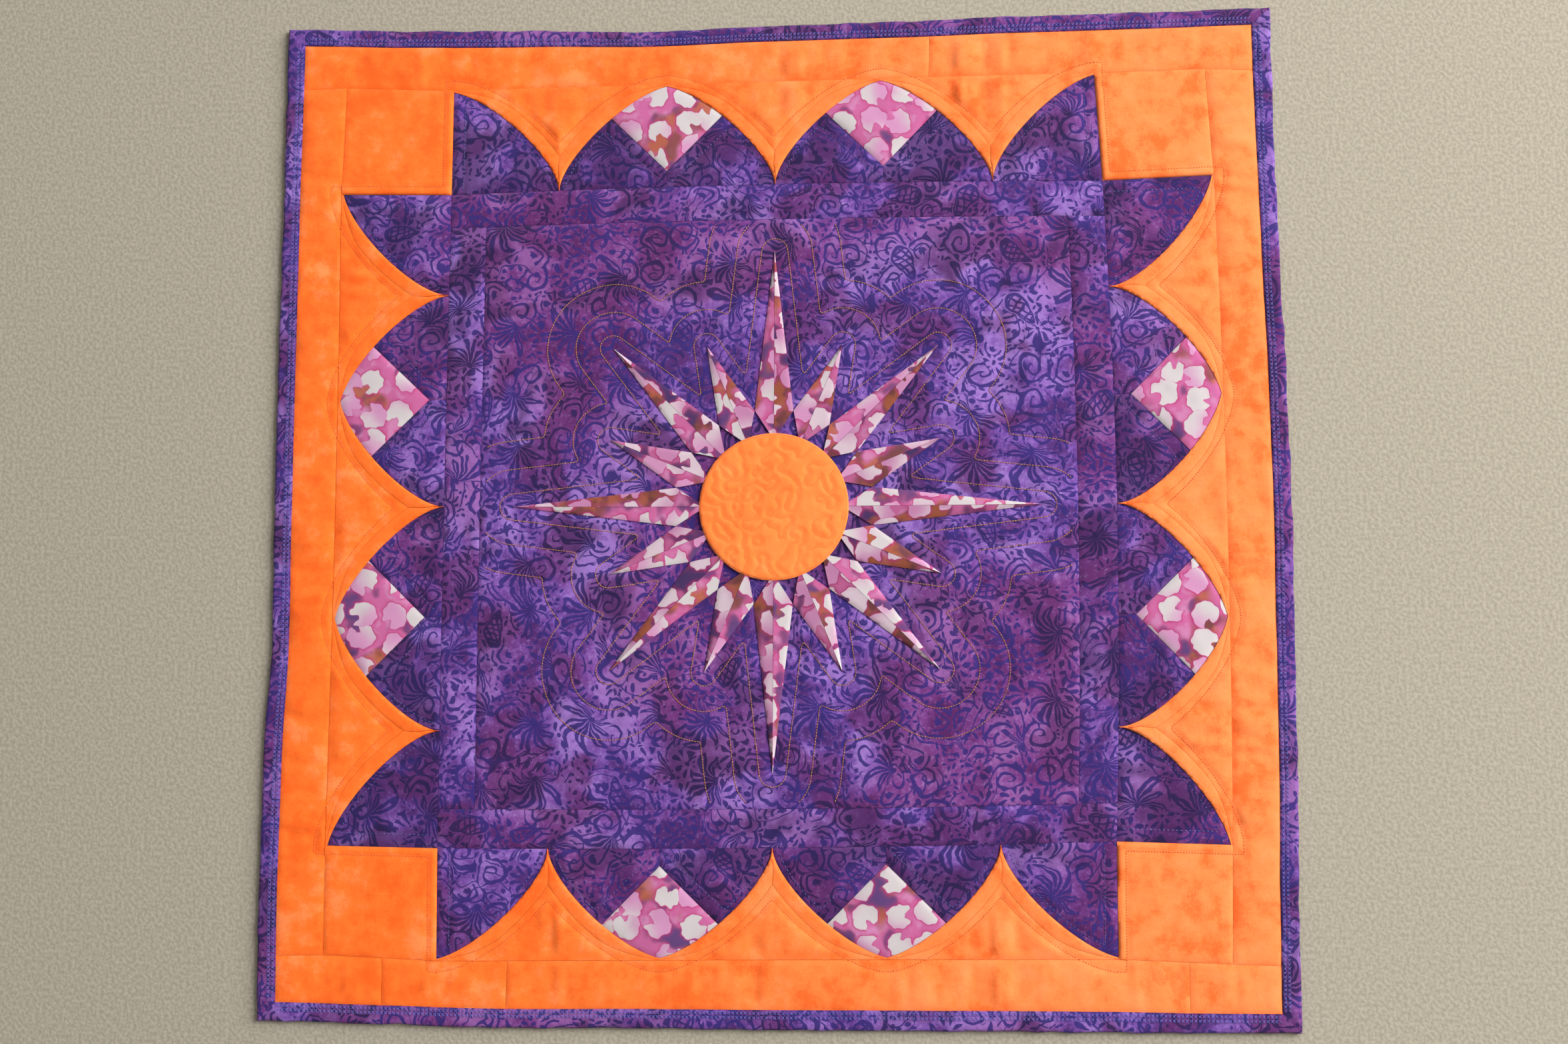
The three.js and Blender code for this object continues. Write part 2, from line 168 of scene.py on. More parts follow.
floor_finish = Finish("pale floor", {"Roughness": 0.95, "Specular IOR Level": 0.1})
floor_place = floor_finish.node("TexCoord", {}, {}, "Object")
grain = mottle(floor_place, 420.0, 3.0)
floor_finish.feed("Base Color", blend(step(grain, 0.25, 0.75), "867f71", "968f80"))
swell(floor_finish, grain, distance=0.0003)
floor_mesh = bpy.data.meshes.new("floor")
floor_mesh.from_pydata([(x, y, FLOOR_HEIGHT) for x, y in FLOOR_CORNERS], [], [(0, 1, 2, 3)])
floor_mesh.materials.append(floor_finish.material)
floor = bpy.data.objects.new("floor", floor_mesh)
scene.collection.objects.link(floor)

# Quilting lines: the stitched lines that hold the layers together. They are marked on the layout first,
# because the cloth sinks along each one. Orange lines follow the petals, dark blue lines run inside
# them, and gold lines echo the star.
BLOCK = 76.2  # side of a corner square, in millimetres like all sizes of the layout
INNER_STRIP = 25.4  # width of the strips round the middle panel
BORDER_STRIP = 31.75  # width of the strips outside the petals
BINDING = 12.7  # width of the binding on each face
FIELD = 3 * BLOCK  # half the side of the square field that the petals stand on
PANEL = FIELD - INNER_STRIP  # half the side of the middle panel
BAND = FIELD + BLOCK  # half the side out to the border strips
EDGE = BAND + BORDER_STRIP  # half the side out to the binding
HALF = EDGE + BINDING  # half the side of the whole hanging
SIDES = ["top", "left", "bottom", "right"]  # each a quarter turn on from the one before
NOTCHES = (-2 * BLOCK, 0, 2 * BLOCK)  # places along a side where petals meet
PETALS = (-BLOCK, BLOCK)  # places along a side of the middles of the whole petals
FLANK = np.array([(0, 0), (2, 24), (47, 68), (BLOCK, 74.8)])  # curve from a notch to a petal's tip
SQUARE_FOOT = 12  # height of a tip square's lowest corner above the field
STAR_POINTS = 16
STAR_REACH = [180, 122, 158, 122]  # lengths of the star's points, over and over
STAR_VALLEY = 68  # distance from the middle to the corners between the points
ORANGE_LINE = {"notch": 15.5, "tip": 9.0, "end": 7.5}  # distances of the orange line outside the petals
CORNER_LINE = 5.8  # distance of the orange line inside the corner squares
BLUE_LINE = {"side": 8.3, "flank": 4.2, "foot": 3.0}  # distances of the blue line inside the petals
GOLD_LINES = [9.0, 26.0, 46.0]  # distances of the gold lines outside the star
GOLD_REACH = PANEL - 4  # half the side of the square that the gold lines fill
GOLD_GRID = 2.0  # step of the grid on which they are found
LINE_SHARES = np.linspace(0, 1, 90)  # shares of a flank where a line that follows it has points
LINE_START = 0.4  # nearest that a line's points come to the middle of a notch
LINE_PEAK = 0.3  # last rise of an orange line over a petal's tip


def turned(side, points):
    """Places given along and out from the middle on one side, as places on the layout."""
    points = np.asarray(points, float)
    for _ in range(SIDES.index(side)):
        points = np.stack([-points[:, 1], points[:, 0]], 1)
    return points


def dense(points, pitch, closed=True):
    """A line with points added, so that none are further apart than the pitch."""
    points = [np.asarray(p, float) for p in points]
    ends = points[1:] + points[:1] if closed else points[1:]
    line = []
    for start, end in zip(points, ends):
        count = max(1, math.ceil(np.linalg.norm(end - start) / pitch - 1e-6))
        line += [start + (end - start) * i / count for i in range(count)]
    return np.array(line if closed else line + [points[-1]])


def distance_to(lines, closed=False):
    """A function that gives how far places are from any of some lines."""
    marks = [p for line in lines for p in dense(line, pitch=0.7, closed=closed)]
    tree = kdtree.KDTree(len(marks))
    for i, (x, y) in enumerate(marks):
        tree.insert((x, y, 0), i)
    tree.balance()
    return lambda x, y: np.array([tree.find((a, b, 0))[2] for a, b in zip(x, y)])


def mirrored(line):
    """A line on the other side of the middle, run backwards."""
    return (line * (-1, 1))[::-1]


def flank_at(share):
    """A place on a petal's flank and the direction out of the petal."""
    rest = 1 - share
    weights = np.stack([rest**3, 3 * rest**2 * share, 3 * rest * share**2, share**3])
    slopes = np.stack([rest**2, 2 * rest * share, share**2])
    place = weights.T @ FLANK
    tangent = slopes.T @ (FLANK[1:] - FLANK[:-1])
    tangent /= np.linalg.norm(tangent, axis=-1, keepdims=True)
    return place, np.stack([-tangent[..., 1], tangent[..., 0]], -1)


def orange_lines(side):
    """Orange lines along one side: over each petal's tip, down to the notches and up again."""
    place, out = flank_at(LINE_SHARES)
    reach = ORANGE_LINE["notch"] + (ORANGE_LINE["tip"] - ORANGE_LINE["notch"]) * LINE_SHARES**2
    line = place + out * reach[:, None]
    line = np.concatenate([line[line[:, 0] > LINE_START], [(BLOCK, line[-1, 1] + LINE_PEAK)]])
    line = np.concatenate([mirrored(line), line])
    return [turned(side, line + (notch, FIELD)) for notch in NOTCHES]


def corner_line(side):
    """Orange line round the two inner sides of a corner square, run out over the border strips."""
    near, far, start = FIELD + CORNER_LINE, BAND + ORANGE_LINE["end"], FIELD - 1
    return turned(side, [(start, far), (near, far), (near, near), (far, near), (far, start)])


def blue_lines(side):
    """Blue lines along one side: up inside each petal's flank, back beside its square or straight edge."""
    place, out = flank_at(LINE_SHARES)
    line = place - out * BLUE_LINE["flank"] - (BLOCK, 0)
    foot = BLUE_LINE["foot"]
    line = line[line[:, 1] > foot]
    slant = SQUARE_FOOT - BLUE_LINE["side"] * math.sqrt(2)
    petal = np.concatenate([line[line.sum(1) < slant], [(slant - foot, foot)]])
    half = np.concatenate([line[line[:, 0] < -BLUE_LINE["side"]], [(-BLUE_LINE["side"], foot)]])
    runs = [half + (FIELD, FIELD), half * (-1, 1) + (-FIELD, FIELD)]
    runs += [petal * (hand, 1) + (middle, FIELD) for middle in PETALS for hand in (1, -1)]
    return [turned(side, run) for run in runs]


def star_corner(reach, turns):
    """A place so far from the star's middle, and so many turns round it."""
    return np.array([reach * math.cos(2 * math.pi * turns), reach * math.sin(2 * math.pi * turns)])


def inside_star(x, y):
    """Whether places are nearer the middle than where the star's edge crosses the line out to them."""
    turns = np.arctan2(y, x) / (2 * math.pi) * STAR_POINTS
    point = np.round(turns).astype(int)
    off = abs(turns - point)
    tips = np.array(STAR_REACH)[point % len(STAR_REACH)]
    angle = 2 * math.pi / STAR_POINTS
    cut = tips * STAR_VALLEY * math.sin(angle / 2)
    cut = cut / (STAR_VALLEY * np.sin((0.5 - off) * angle) + tips * np.sin(off * angle))
    return np.hypot(x, y) < cut


def contours(field, level, origin, pitch):
    """Lines on a grid of values where they pass a level, as lists of places."""
    above = field > level
    links = {}

    def far_end(kind, i, j):
        return (i + 1, j) if kind == "across" else (i, j + 1)

    def crossing(kind, i, j):
        k, m = far_end(kind, i, j)
        share = (level - field[i, j]) / (field[k, m] - field[i, j])
        return origin + pitch * (i + share * (k - i)), origin + pitch * (j + share * (m - j))

    mixed = above[:-1, :-1] + 0 + above[1:, :-1] + above[:-1, 1:] + above[1:, 1:]
    for i, j in np.argwhere((mixed > 0) & (mixed < 4)).tolist():
        edges = (("across", i, j), ("up", i + 1, j), ("across", i, j + 1), ("up", i, j))
        crossed = [edge for edge in edges if above[edge[1:]] != above[far_end(*edge)]]
        for one, two in zip(crossed[::2], crossed[1::2]):
            links.setdefault(one, []).append(two)
            links.setdefault(two, []).append(one)
    lines = []
    while links:
        ends = [key for key, near in links.items() if len(near) == 1]
        chain = [ends[0] if ends else next(iter(links))]
        while links.get(chain[-1]):
            following = links[chain[-1]].pop(0)
            links[following].remove(chain[-1])
            if not links[chain[-1]]:
                links.pop(chain[-1])
            chain.append(following)
        links.pop(chain[-1], None)
        lines.append(np.array([crossing(*key) for key in chain]))
    return lines


orange_runs = [line for side in SIDES for line in orange_lines(side)]
orange_runs += [corner_line(side) for side in SIDES]
blue_runs = [line for side in SIDES for line in blue_lines(side)]
star_outline = []
for point in range(STAR_POINTS):
    star_outline.append(star_corner(STAR_REACH[point % len(STAR_REACH)], point / STAR_POINTS))
    star_outline.append(star_corner(STAR_VALLEY, (point + 0.5) / STAR_POINTS))
to_star = distance_to([star_outline], closed=True)
gold_axis = GOLD_GRID * np.arange(int(2 * GOLD_REACH / GOLD_GRID) + 1) - GOLD_REACH
gold_x, gold_y = (values.ravel() for values in np.meshgrid(gold_axis, gold_axis, indexing="ij"))
gold_field = to_star(gold_x, gold_y) * np.where(inside_star(gold_x, gold_y), -1, 1)
gold_field = gold_field.reshape(len(gold_axis), -1)
gold_runs = []
for level in GOLD_LINES:
    gold_runs += contours(gold_field, level, -GOLD_REACH, GOLD_GRID)
to_quilting = distance_to(orange_runs + blue_runs + gold_runs)

# Padded back: one sheet of wadding and plain cotton that all the patchwork is quilted to.
# Its underside shows the quilting as shallow channels, and its rim lies inside the folded binding.
BACK_TOP = 2.4
BACK_INSET = 1.3  # how far the back stops short of the hanging's edge
BACK_RIM = {"rise": 1.3, "width": 11.4, "slope": 1.2, "end": 12.5}  # raised over the binding's folded edge
CHANNEL = {"depth": 0.5, "width": 3.5, "wave": 0.12}
# How far the four edges stand out of the square, at equal steps along: left to right on the top and
# bottom, bottom to top on the sides.
EDGE_DRIFT = {
    "top": [1.4, -1.8, -3.5, -6.1, -3.7, -2.8, -0.8, 0, 1.4],
    "bottom": [-1.4, -0.2, 1.4, 0.5, 0.5, 0, -0.5, -0.6, -1.4],
    "left": [1.5, 3.2, 2.7, -0.8, 0.6, 1.1, 1.1, 1.3, 1.5],
    "right": [-1.5, -0.5, 1.5, 2.2, 3.2, 2.2, -0.1, -1.3, -1.5],
}
# Drift across and up where seams cross, row by row from the lower border strip's seam to the upper one's.
# Each row goes from the left strip's seam over the field's left edge, middle and right edge to the right.
SEAM_DRIFT = np.array(
    [
        [(-1, 1.2), (1, -2), (0.6, 1), (1.1, 3.6), (-0.5, 1.2)],
        [(-1.6, -1.7), (0, -3), (0.2, -1.4), (1.6, 4.3), (1.6, 2.5)],
        [(-1.2, 1.5), (-0.6, 2.6), (1, 1.4), (6.5, 2.5), (4, 1.5)],
        [(-3.5, -1.5), (0, -3), (1.6, 1), (0.9, -0.5), (1.1, 2.1)],
        [(-1.7, 1.1), (0.1, -2.5), (0.5, -0.6), (-3.5, 1), (-2.9, 2.3)],
    ]
)
SEAM_GAP = 0.09  # half the width of the dark line where two patches meet
RIM_PITCH = 1.8  # longest step along the rim of a cloth's mesh
RIM_CLEAR = 0.6  # nearest that the rest of the mesh comes to the rim, in steps of the mesh
ROW_STEP = 0.87  # from one row of the mesh to the next, in steps along the row
SHARP_EDGE = math.radians(60)
WEAVE = 0.035  # centimetres between threads of quilting cotton
sine = maths("SINE")


def eased(share):
    """A share from 0 to 1, with a slow start and end."""
    return share * share * (3 - 2 * share)


def fade(away, width):
    """1 on a line, and nearly 0 a few widths from it."""
    return np.exp(-away / width)


def rise(away, width):
    """0 on a line, and nearly 1 a few widths from it."""
    return 1 - fade(away, width)


def dip(away, width):
    """1 on and right beside a line, and nearly 0 two widths from it."""
    return np.exp(-((away / width) ** 2))


def edge_drift(side, along):
    """How far an edge stands out of the square at places from -1 to 1 along it."""
    table = np.array(EDGE_DRIFT[side])
    place = (np.clip(along, -1, 1) + 1) / 2 * (len(table) - 1)
    start = np.minimum(place.astype(int), len(table) - 2)
    share = eased(place - start)
    return table[start] * (1 - share) + table[start + 1] * share


def seam_weights(place):
    """How much each of the five seams of SEAM_DRIFT counts at places along one axis."""
    share = place / FIELD
    out = np.clip((abs(place) - FIELD) / BLOCK, 0, 1)
    none = np.zeros_like(place)
    low = [out, 1 - out, none, none, none]
    high = [none, none, none, 1 - out, out]
    inner = [none, share * (share - 1) / 2, 1 - share * share, share * (share + 1) / 2, none]
    return np.where(share < -1, low, np.where(share > 1, high, inner))


def settle(x, y):
    """Where places of the planned layout really lie, after the drift of the sewing."""

    def outward(place):
        return np.clip((place - BAND) / (HALF - BAND), 0, 1)

    drift = np.einsum("i...,j...,ijk->k...", seam_weights(y), seam_weights(x), SEAM_DRIFT)
    keep = 1 - outward(np.maximum(abs(x), abs(y)))
    right = outward(x) * edge_drift("right", y / HALF) - outward(-x) * edge_drift("left", y / HALF)
    up = outward(y) * edge_drift("top", x / HALF) - outward(-y) * edge_drift("bottom", x / HALF)
    return x + keep * drift[0] + right, y + keep * drift[1] + up


def uneven(x, y, size, seed):
    """Smooth random swelling from -1 to 1, with lumps of about the given size."""
    count, start = 64, 200
    table = np.random.default_rng(seed).uniform(-1, 1, (count, count))
    u, v = x / size + start, y / size + start
    i, j = np.floor(u).astype(int), np.floor(v).astype(int)
    s, t = eased(u - i), eased(v - j)
    i, j, k, m = i % count, j % count, (i + 1) % count, (j + 1) % count
    low = table[i, j] * (1 - s) + table[k, j] * s
    high = table[i, m] * (1 - s) + table[k, m] * s
    return low * (1 - t) + high * t


class Cloth:
    """A closed piece of cloth, gathered from flat shapes of the layout and then made one mesh."""

    def __init__(self):
        self.points, self.faces, self.prints, self.depths, self.area = [], [], [], [], 0.0

    def add(self, outline, height, base, pitch, cut=None, upside_down=False):
        """Adds a shape. Height gives its upper face from x, y and the distance from its outline.

        Cut is the place on the printed cloth that it comes from."""
        cut = cut or {"turn": 0, "start": (0, 0), "depth": 0}
        rim = dense(outline, min(pitch, RIM_PITCH))
        ahead = np.roll(rim, -1, 0)
        twice_area = (rim[:, 0] * ahead[:, 1] - rim[:, 1] * ahead[:, 0]).sum()
        self.area += abs(twice_area) / 2
        away = distance_to([rim], closed=True)
        low, high = rim.min(0), rim.max(0)
        across = np.arange(low[0], high[0], pitch)
        rows = enumerate(np.arange(low[1], high[1], pitch * ROW_STEP))
        grid = np.array([(x + pitch / 2 * (j % 2), y) for j, y in rows for x in across])
        grid = grid[away(grid[:, 0], grid[:, 1]) > RIM_CLEAR * pitch]
        flat = [Vector(p) for p in np.concatenate([rim, grid])]
        found, _, triangles, *_ = delaunay_2d_cdt(flat, [], [list(range(len(rim)))], 1, 1e-5)
        used = sorted({i for triangle in triangles for i in triangle})
        order = {old: new for new, old in enumerate(used)}
        x, y = np.array([found[i] for i in used]).T
        triangles = [tuple(order[i] for i in triangle) for triangle in triangles]
        top = height(x, y, away(x, y))
        ring = list(range(len(rim)))
        if twice_area < 0:  # the outline runs clockwise
            ring = ring[:1] + ring[:0:-1]
        along = np.roll([x[ring], y[ring]], -1, 1) - np.roll([x[ring], y[ring]], 1, 1)
        inward = np.array([-along[1], along[0]]) / np.hypot(*along)
        deep = away(*(np.array([x[ring], y[ring]]) + 2 * SEAM_GAP * inward))
        inward *= SEAM_GAP * np.clip(deep / SEAM_GAP - 1, 0, 1)
        x[ring] += inward[0]
        y[ring] += inward[1]
        self.close(x, y, top, triangles, ring, base, upside_down)
        turn = math.radians(cut["turn"])
        across, up = x * math.cos(turn) - y * math.sin(turn), x * math.sin(turn) + y * math.cos(turn)
        place = np.stack([across, up], 1) / 10 + cut["start"]
        self.prints += [place, place[ring]]
        self.depths += [cut["depth"]] * (len(place) + len(ring))

    def close(self, x, y, top, triangles, ring, base, upside_down):
        """Closes a face with walls and a flat base, and moves it to where the sewing has drifted."""
        first = sum(len(p) for p in self.points)
        below = {a: first + len(x) + i for i, a in enumerate(ring)}
        x, y = settle(x, y)
        upper = np.stack([x, y, top], 1)
        lower = np.stack([x[ring], y[ring], np.full(len(ring), base)], 1)
        self.points += [upper, lower]
        faces = [tuple(first + i for i in triangle) for triangle in triangles]
        faces += [(below[a], below[b], first + b, first + a) for a, b in zip(ring, ring[1:] + ring[:1])]
        faces.append(tuple(below[a] for a in reversed(ring)))
        self.faces += [face[::-1] for face in faces] if upside_down else faces

    def make(self, name, finish):
        mesh = bpy.data.meshes.new(name)
        mesh.from_pydata((np.concatenate(self.points) / 1000).tolist(), [], self.faces)
        corner_points = np.empty(len(mesh.loops), int)
        mesh.loops.foreach_get("vertex_index", corner_points)
        layer = mesh.uv_layers.new(name="cloth")
        layer.data.foreach_set("uv", np.concatenate(self.prints)[corner_points].ravel())
        mesh.attributes.new("dye_depth", "FLOAT", "POINT").data.foreach_set("value", self.depths)
        mesh.polygons.foreach_set("use_smooth", np.ones(len(mesh.polygons), bool))
        mesh.set_sharp_from_angle(angle=SHARP_EDGE)
        mesh.materials.append(finish.material)
        piece = bpy.data.objects.new(name, mesh)
        scene.collection.objects.link(piece)
        return piece


cloths = []  # every sheet, the back first


def declare(piece, flat, area):
    """Attaches a sheet to the root body and lists it among the cloths."""
    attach(piece, "root")
    flat = tuple(size / 1000 for size in flat)
    area / 1e6
    cloths.append(piece)


def lay(cloth, node, finish, flat):
    """Makes a cloth the piece that stands for a node, with the given finish, and hides the node's own part."""
    piece = cloth.make(f"{node}_cloth", finish)
    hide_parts(node)
    declare(piece, flat, cloth.area)


def square(left, low, right, high):
    return [(left, low), (right, low), (right, high), (left, high)]


def weave(place):
    """Height of a plain weave, from 0 to 1, on a print place in centimetres."""
    split = place.finish.node("SeparateXYZ", {}, {0: place})
    threads = [split.other(axis) * (math.pi / WEAVE) for axis in ("X", "Y")]
    return abs(sine(threads[0])) * abs(sine(threads[1]))


def cotton(name):
    """A matt cotton finish, with the place on its print in centimetres."""
    finish = Finish(name, {"Roughness": 0.88, "Specular IOR Level": 0.15, "Sheen Weight": 0.05})
    return finish, finish.node("UVMap", {"uv_map": "cloth"}, {})


def back_height(x, y, rim):
    """Underside of the back, with channels along the quilting and a raised rim."""
    raised = BACK_RIM["rise"] * np.clip(1 - (rim - BACK_RIM["width"]) / BACK_RIM["slope"], 0, 1)
    channels = CHANNEL["depth"] * dip(to_quilting(x, y), CHANNEL["width"])
    channels += CHANNEL["wave"] * (1 + uneven(x, y, size=30, seed=3))
    return np.where(rim > BACK_RIM["end"], np.maximum(raised, channels), raised)


backing, backing_place = cotton("backing cotton")
clouds = mottle(backing_place, 0.35, 3.0)
backing.feed("Base Color", blend(step(clouds, 0.35, 0.68), "3d2355", "593976"))
swell(backing, weave(backing_place), distance=0.00012)
back = Cloth()
reach = HALF - BACK_INSET
back.add(square(-reach, -reach, reach, reach), back_height, BACK_TOP, pitch=5.0, upside_down=True)
lay(back, "padded_back", backing, (2 * HALF, 2 * HALF))

# Border strips: orange hand-dyed cotton, clouded from red orange to a lighter apricot orange, and painted
# lighter towards the right, where the main lamp is, as painted light.
# They are joined from shorter lengths, sewn flat outside the petals and quilted.
SEAM_HEIGHT = 3.3  # of the cloth's face where patches are sewn together
SEAM_LIP = 0.45  # how far the cloth stands up right beside a seam
PATCH_BASE = 2.7  # of the patches' undersides
STITCH_SINK = {"depth": 0.75, "width": 2.1, "pucker": 0.2}
LUMPS = {24: 0.4, 55: 0.3, 9: 0.35}  # sizes of the swellings in a patch, and their shares
STRIP_JOINS = {"top": [111], "left": [], "bottom": [-276, 180, 265], "right": []}  # places along each side
FOLD_REACH = 20  # how far along a side the cloth is drawn up at a notch
PRINT_REACH = 60  # centimetres of printed cloth that the patches are cut from
CUT_TURN = 6  # degrees that a patch may be cut off the straight
draws = np.random.default_rng(11)


def quilted(puff, seed):
    """Height of a quilted patch, swelling away from its seams and sinking along its stitched lines."""

    def height(x, y, rim):
        lumps = sum(share * uneven(x, y, size, seed + i) for i, (size, share) in enumerate(LUMPS.items()))
        swollen = SEAM_LIP * rise(rim, width=0.7) + puff * rise(rim, width=6) * (1 + lumps)
        away = to_quilting(x, y)
        puckers = uneven(x, y, size=4.5, seed=5) * fade(away, width=6)
        sunk = STITCH_SINK["depth"] * dip(away, STITCH_SINK["width"]) + STITCH_SINK["pucker"] * puckers
        return SEAM_HEIGHT + swollen - sunk * rise(rim, width=1.5)

    return height


def cut_from(lightest=0.0, darkest=0.0):
    """A place on the printed cloth, taken at random, with how dark the dye is there."""
    turn = 90 * draws.integers(4) + draws.uniform(-CUT_TURN, CUT_TURN)
    start = draws.uniform(0, PRINT_REACH, 2)
    return {"turn": turn, "start": start, "depth": draws.uniform(lightest, darkest)}


def dye_depth(finish):
    return finish.node("Attribute", {"attribute_name": "dye_depth"}, {}, "Fac")


def folds(side, x, y):
    """Soft folds that run out from the middle, where the sewing has drawn the border up at each notch."""
    along, out = (x, y) if side in ("top", "bottom") else (y, x)
    seed = 70 + SIDES.index(side)
    drawn_up = dip(np.min([abs(along - notch) for notch in NOTCHES], 0), FOLD_REACH)
    fine = 0.65 * uneven(along, 0.12 * out, size=6, seed=seed)
    broad = 1.1 * uneven(along, 0.25 * out, size=15, seed=seed + 4)
    sharp = np.maximum(1 - abs(uneven(along, 0.12 * out, size=12, seed=seed + 8)) / 0.35, 0)
    return (1 + 0.4 * drawn_up) * fine + (1 + drawn_up) * broad - 0.25 * drawn_up * sharp


def strip_height(side, seed):
    plain = quilted(puff=0.8, seed=seed)
    return lambda x, y, rim: plain(x, y, rim) + folds(side, x, y) * (1 - dip(rim, width=5.5))


orange, orange_place = cotton("orange cotton")
brushed = mottle(orange_place, 7.0, 3.0, 0.6)
cloud = mottle(orange_place, 0.2) * 0.4 + mottle(orange_place, 0.75, 3.0, 0.6) * 0.45 + brushed * 0.15
# Painted light: by its place across the hanging, the orange is painted lighter from left to right, towards the
# main lamp.
across = orange.node("TexCoord", {}, {}, "Object")
across = orange.node("SeparateXYZ", {}, {0: across}, "X")
orange_colour = blend(step(across, -0.3, 0.33), "ff7122", "ff8545")
orange_colour = blend(step(cloud, 0.52, 0.35) * 0.7, orange_colour, "f25a10")
orange_colour = blend(step(cloud, 0.5, 0.66) * 0.6, orange_colour, "ff9156")
# Only the disc is cut at depth 1, so this makes the disc alone a lighter orange than the rest of the same
# cloth.
orange_colour = blend(dye_depth(orange) * 0.5, orange_colour, "ff8a40")
orange.feed("Base Color", orange_colour)
wrinkles = mottle(orange_place, 1.5)
swell(orange, weave(orange_place) + brushed * 0.8 + wrinkles * 2.5, distance=0.00018)

for number, side in enumerate(SIDES):
    strip = Cloth()
    reach = BAND if side in ("left", "right") else EDGE
    ends = [-reach, *STRIP_JOINS[side], reach]
    for start, stop in zip(ends, ends[1:]):
        outline = turned(side, square(start, BAND, stop, EDGE))
        strip.add(outline, strip_height(side, 20 + number), PATCH_BASE, pitch=2.0, cut=cut_from())
    lay(strip, f"border_strip_{side}", orange, (2 * reach, BORDER_STRIP))

# Corner squares: squares of the orange cotton whose two inner edges are folded under and lie over
# the petals. Each is quilted with an orange line that follows the fold.
FOLD_RISE = 0.65  # how far a folded edge stands above a seam
FOLD_WIDTH = 7.5
for number, side in enumerate(SIDES):
    to_fold = distance_to([turned(side, [(FIELD, BAND), (FIELD, FIELD), (BAND, FIELD)])])
    plain = quilted(puff=0.8, seed=30 + number)

    def corner_height(x, y, rim):
        away = to_fold(x, y)
        folded = FOLD_RISE * rise(away, width=0.6) * np.exp(-((away / FOLD_WIDTH) ** 4))
        return plain(x, y, rim) + folded

    corner = Cloth()
    outline = turned(side, square(FIELD, FIELD, BAND, BAND))
    corner.add(outline, corner_height, PATCH_BASE, pitch=1.8, cut=cut_from())
    lay(corner, f"corner_square_{side}", orange, (BLOCK, BLOCK))

# Spandrels: orange pieces between the petals. Their edges are rolled back over the purple in a band
# that ends in a crease, and the two bands of each one are pinched together in a narrow pleat at the notch.
ROLL = {"width": 9.3, "tip": BLOCK - FLANK[-1, 1], "rise": 0.65, "fall": 0.9, "taper": 0.6}
PLEAT = {"length": 17.0, "rise": 0.8, "lap": 0.7}
PLEAT_LINE = [(0, 0), (0.7, 7), (-0.6, 14)]  # crease in the middle of the pleat
flank = flank_at(np.linspace(0, 1, 70))[0]
roll_shares = np.linspace(0, 1, 160)
roll_place, roll_out = flank_at(roll_shares)
roll_taper = eased(np.clip((roll_shares - ROLL["taper"]) / (1 - ROLL["taper"]), 0, 1))
roll_width = ROLL["width"] + (ROLL["tip"] - ROLL["width"]) * roll_taper
crease = roll_place + roll_out * roll_width[:, None]
crease = crease[crease[:, 0] > 0.3]
crease = np.concatenate([[(0, crease[0, 1])], crease[1:-1], [(BLOCK, BLOCK)]])
roll_band = np.concatenate([flank, crease[::-1], PLEAT_LINE[:0:-1]])
other_band = np.concatenate([flank * (-1, 1), mirrored(crease), PLEAT_LINE[:0:-1]])
spandrel_middle = np.concatenate([crease, (crease * (-1, 1))[:0:-1]])


def band_height(side, notch, seed, lap):
    """A rolled edge: round where it lies over the purple, falling to the crease and lapped at the notch."""
    lines = [np.concatenate([line, mirrored(line)]) for line in (roll_place, crease)]
    to_flank, to_crease = (distance_to([turned(side, line + (notch, FIELD))]) for line in lines)
    middle = turned(side, [(notch, FIELD)])[0]

    def height(x, y, rim):
        away = to_flank(x, y)
        width = away + to_crease(x, y) + 0.01
        roll = ROLL["rise"] * rise(away, width=0.4) * (1 - ROLL["fall"] * (away / width) ** 2)
        roll *= np.minimum(width / 6, 1)
        pinched = dip(np.hypot(x - middle[0], y - middle[1]), PLEAT["length"])
        pleat = (PLEAT["rise"] * rise(rim, width=0.9) + lap) * pinched
        lumps = 0.16 * uneven(x, y, size=9, seed=seed) * rise(rim, width=2)
        return SEAM_HEIGHT + SEAM_LIP - 0.15 * fade(rim, width=0.3) + roll + pleat + lumps

    return height


for number, side in enumerate(SIDES):
    for index, notch in enumerate(NOTCHES, 1):
        spandrel = Cloth()
        cut = cut_from()
        seed = 40 + 3 * number + index
        for band, lap in ((roll_band, PLEAT["lap"]), (other_band, 0)):
            outline = turned(side, band + (notch, FIELD))
            height = band_height(side, notch, seed, lap)
            spandrel.add(outline, height, PATCH_BASE, pitch=1.4, cut=cut)
        plain = strip_height(side, seed)

        def middle_height(x, y, rim):
            return plain(x, y, rim) + 0.35 * fade(rim, width=0.8)

        outline = turned(side, spandrel_middle + (notch, FIELD))
        spandrel.add(outline, middle_height, PATCH_BASE, pitch=1.7, cut=cut)
        lay(spandrel, f"spandrel_{side}_{index}", orange, (2 * BLOCK, BLOCK))

# Middle panel and inner strips: purple batik cotton, sewn flat and quilted. It has a violet and plum
# ground with a dark indigo print of flowers, leaf tufts, scrolls and small seeds.
PANEL_FLAT = 0.35  # height above a seam of the panel where the star covers it
PURPLE_PITCH = 1.9  # step of the mesh of the purple and pink pieces
cosine = maths("COSINE")
arctan2 = maths("ARCTAN2")
fraction = maths("FRACT")
larger = maths("MAXIMUM")


def vector(finish, operation, *values):
    return finish.node("VectorMath", {"operation": operation}, dict(enumerate(values)))


def wavered(place, scale, detail, amount):
    """Places pushed about a little, as a hand-drawn print wavers and a wet dye bleeds."""
    finish = place.finish
    push = vector(finish, "SUBTRACT", mottle(place, scale, detail, output=1), (0.5, 0.5, 0.5))
    return vector(finish, "ADD", place, vector(finish, "MULTIPLY", push, (amount, amount, 0.0)))


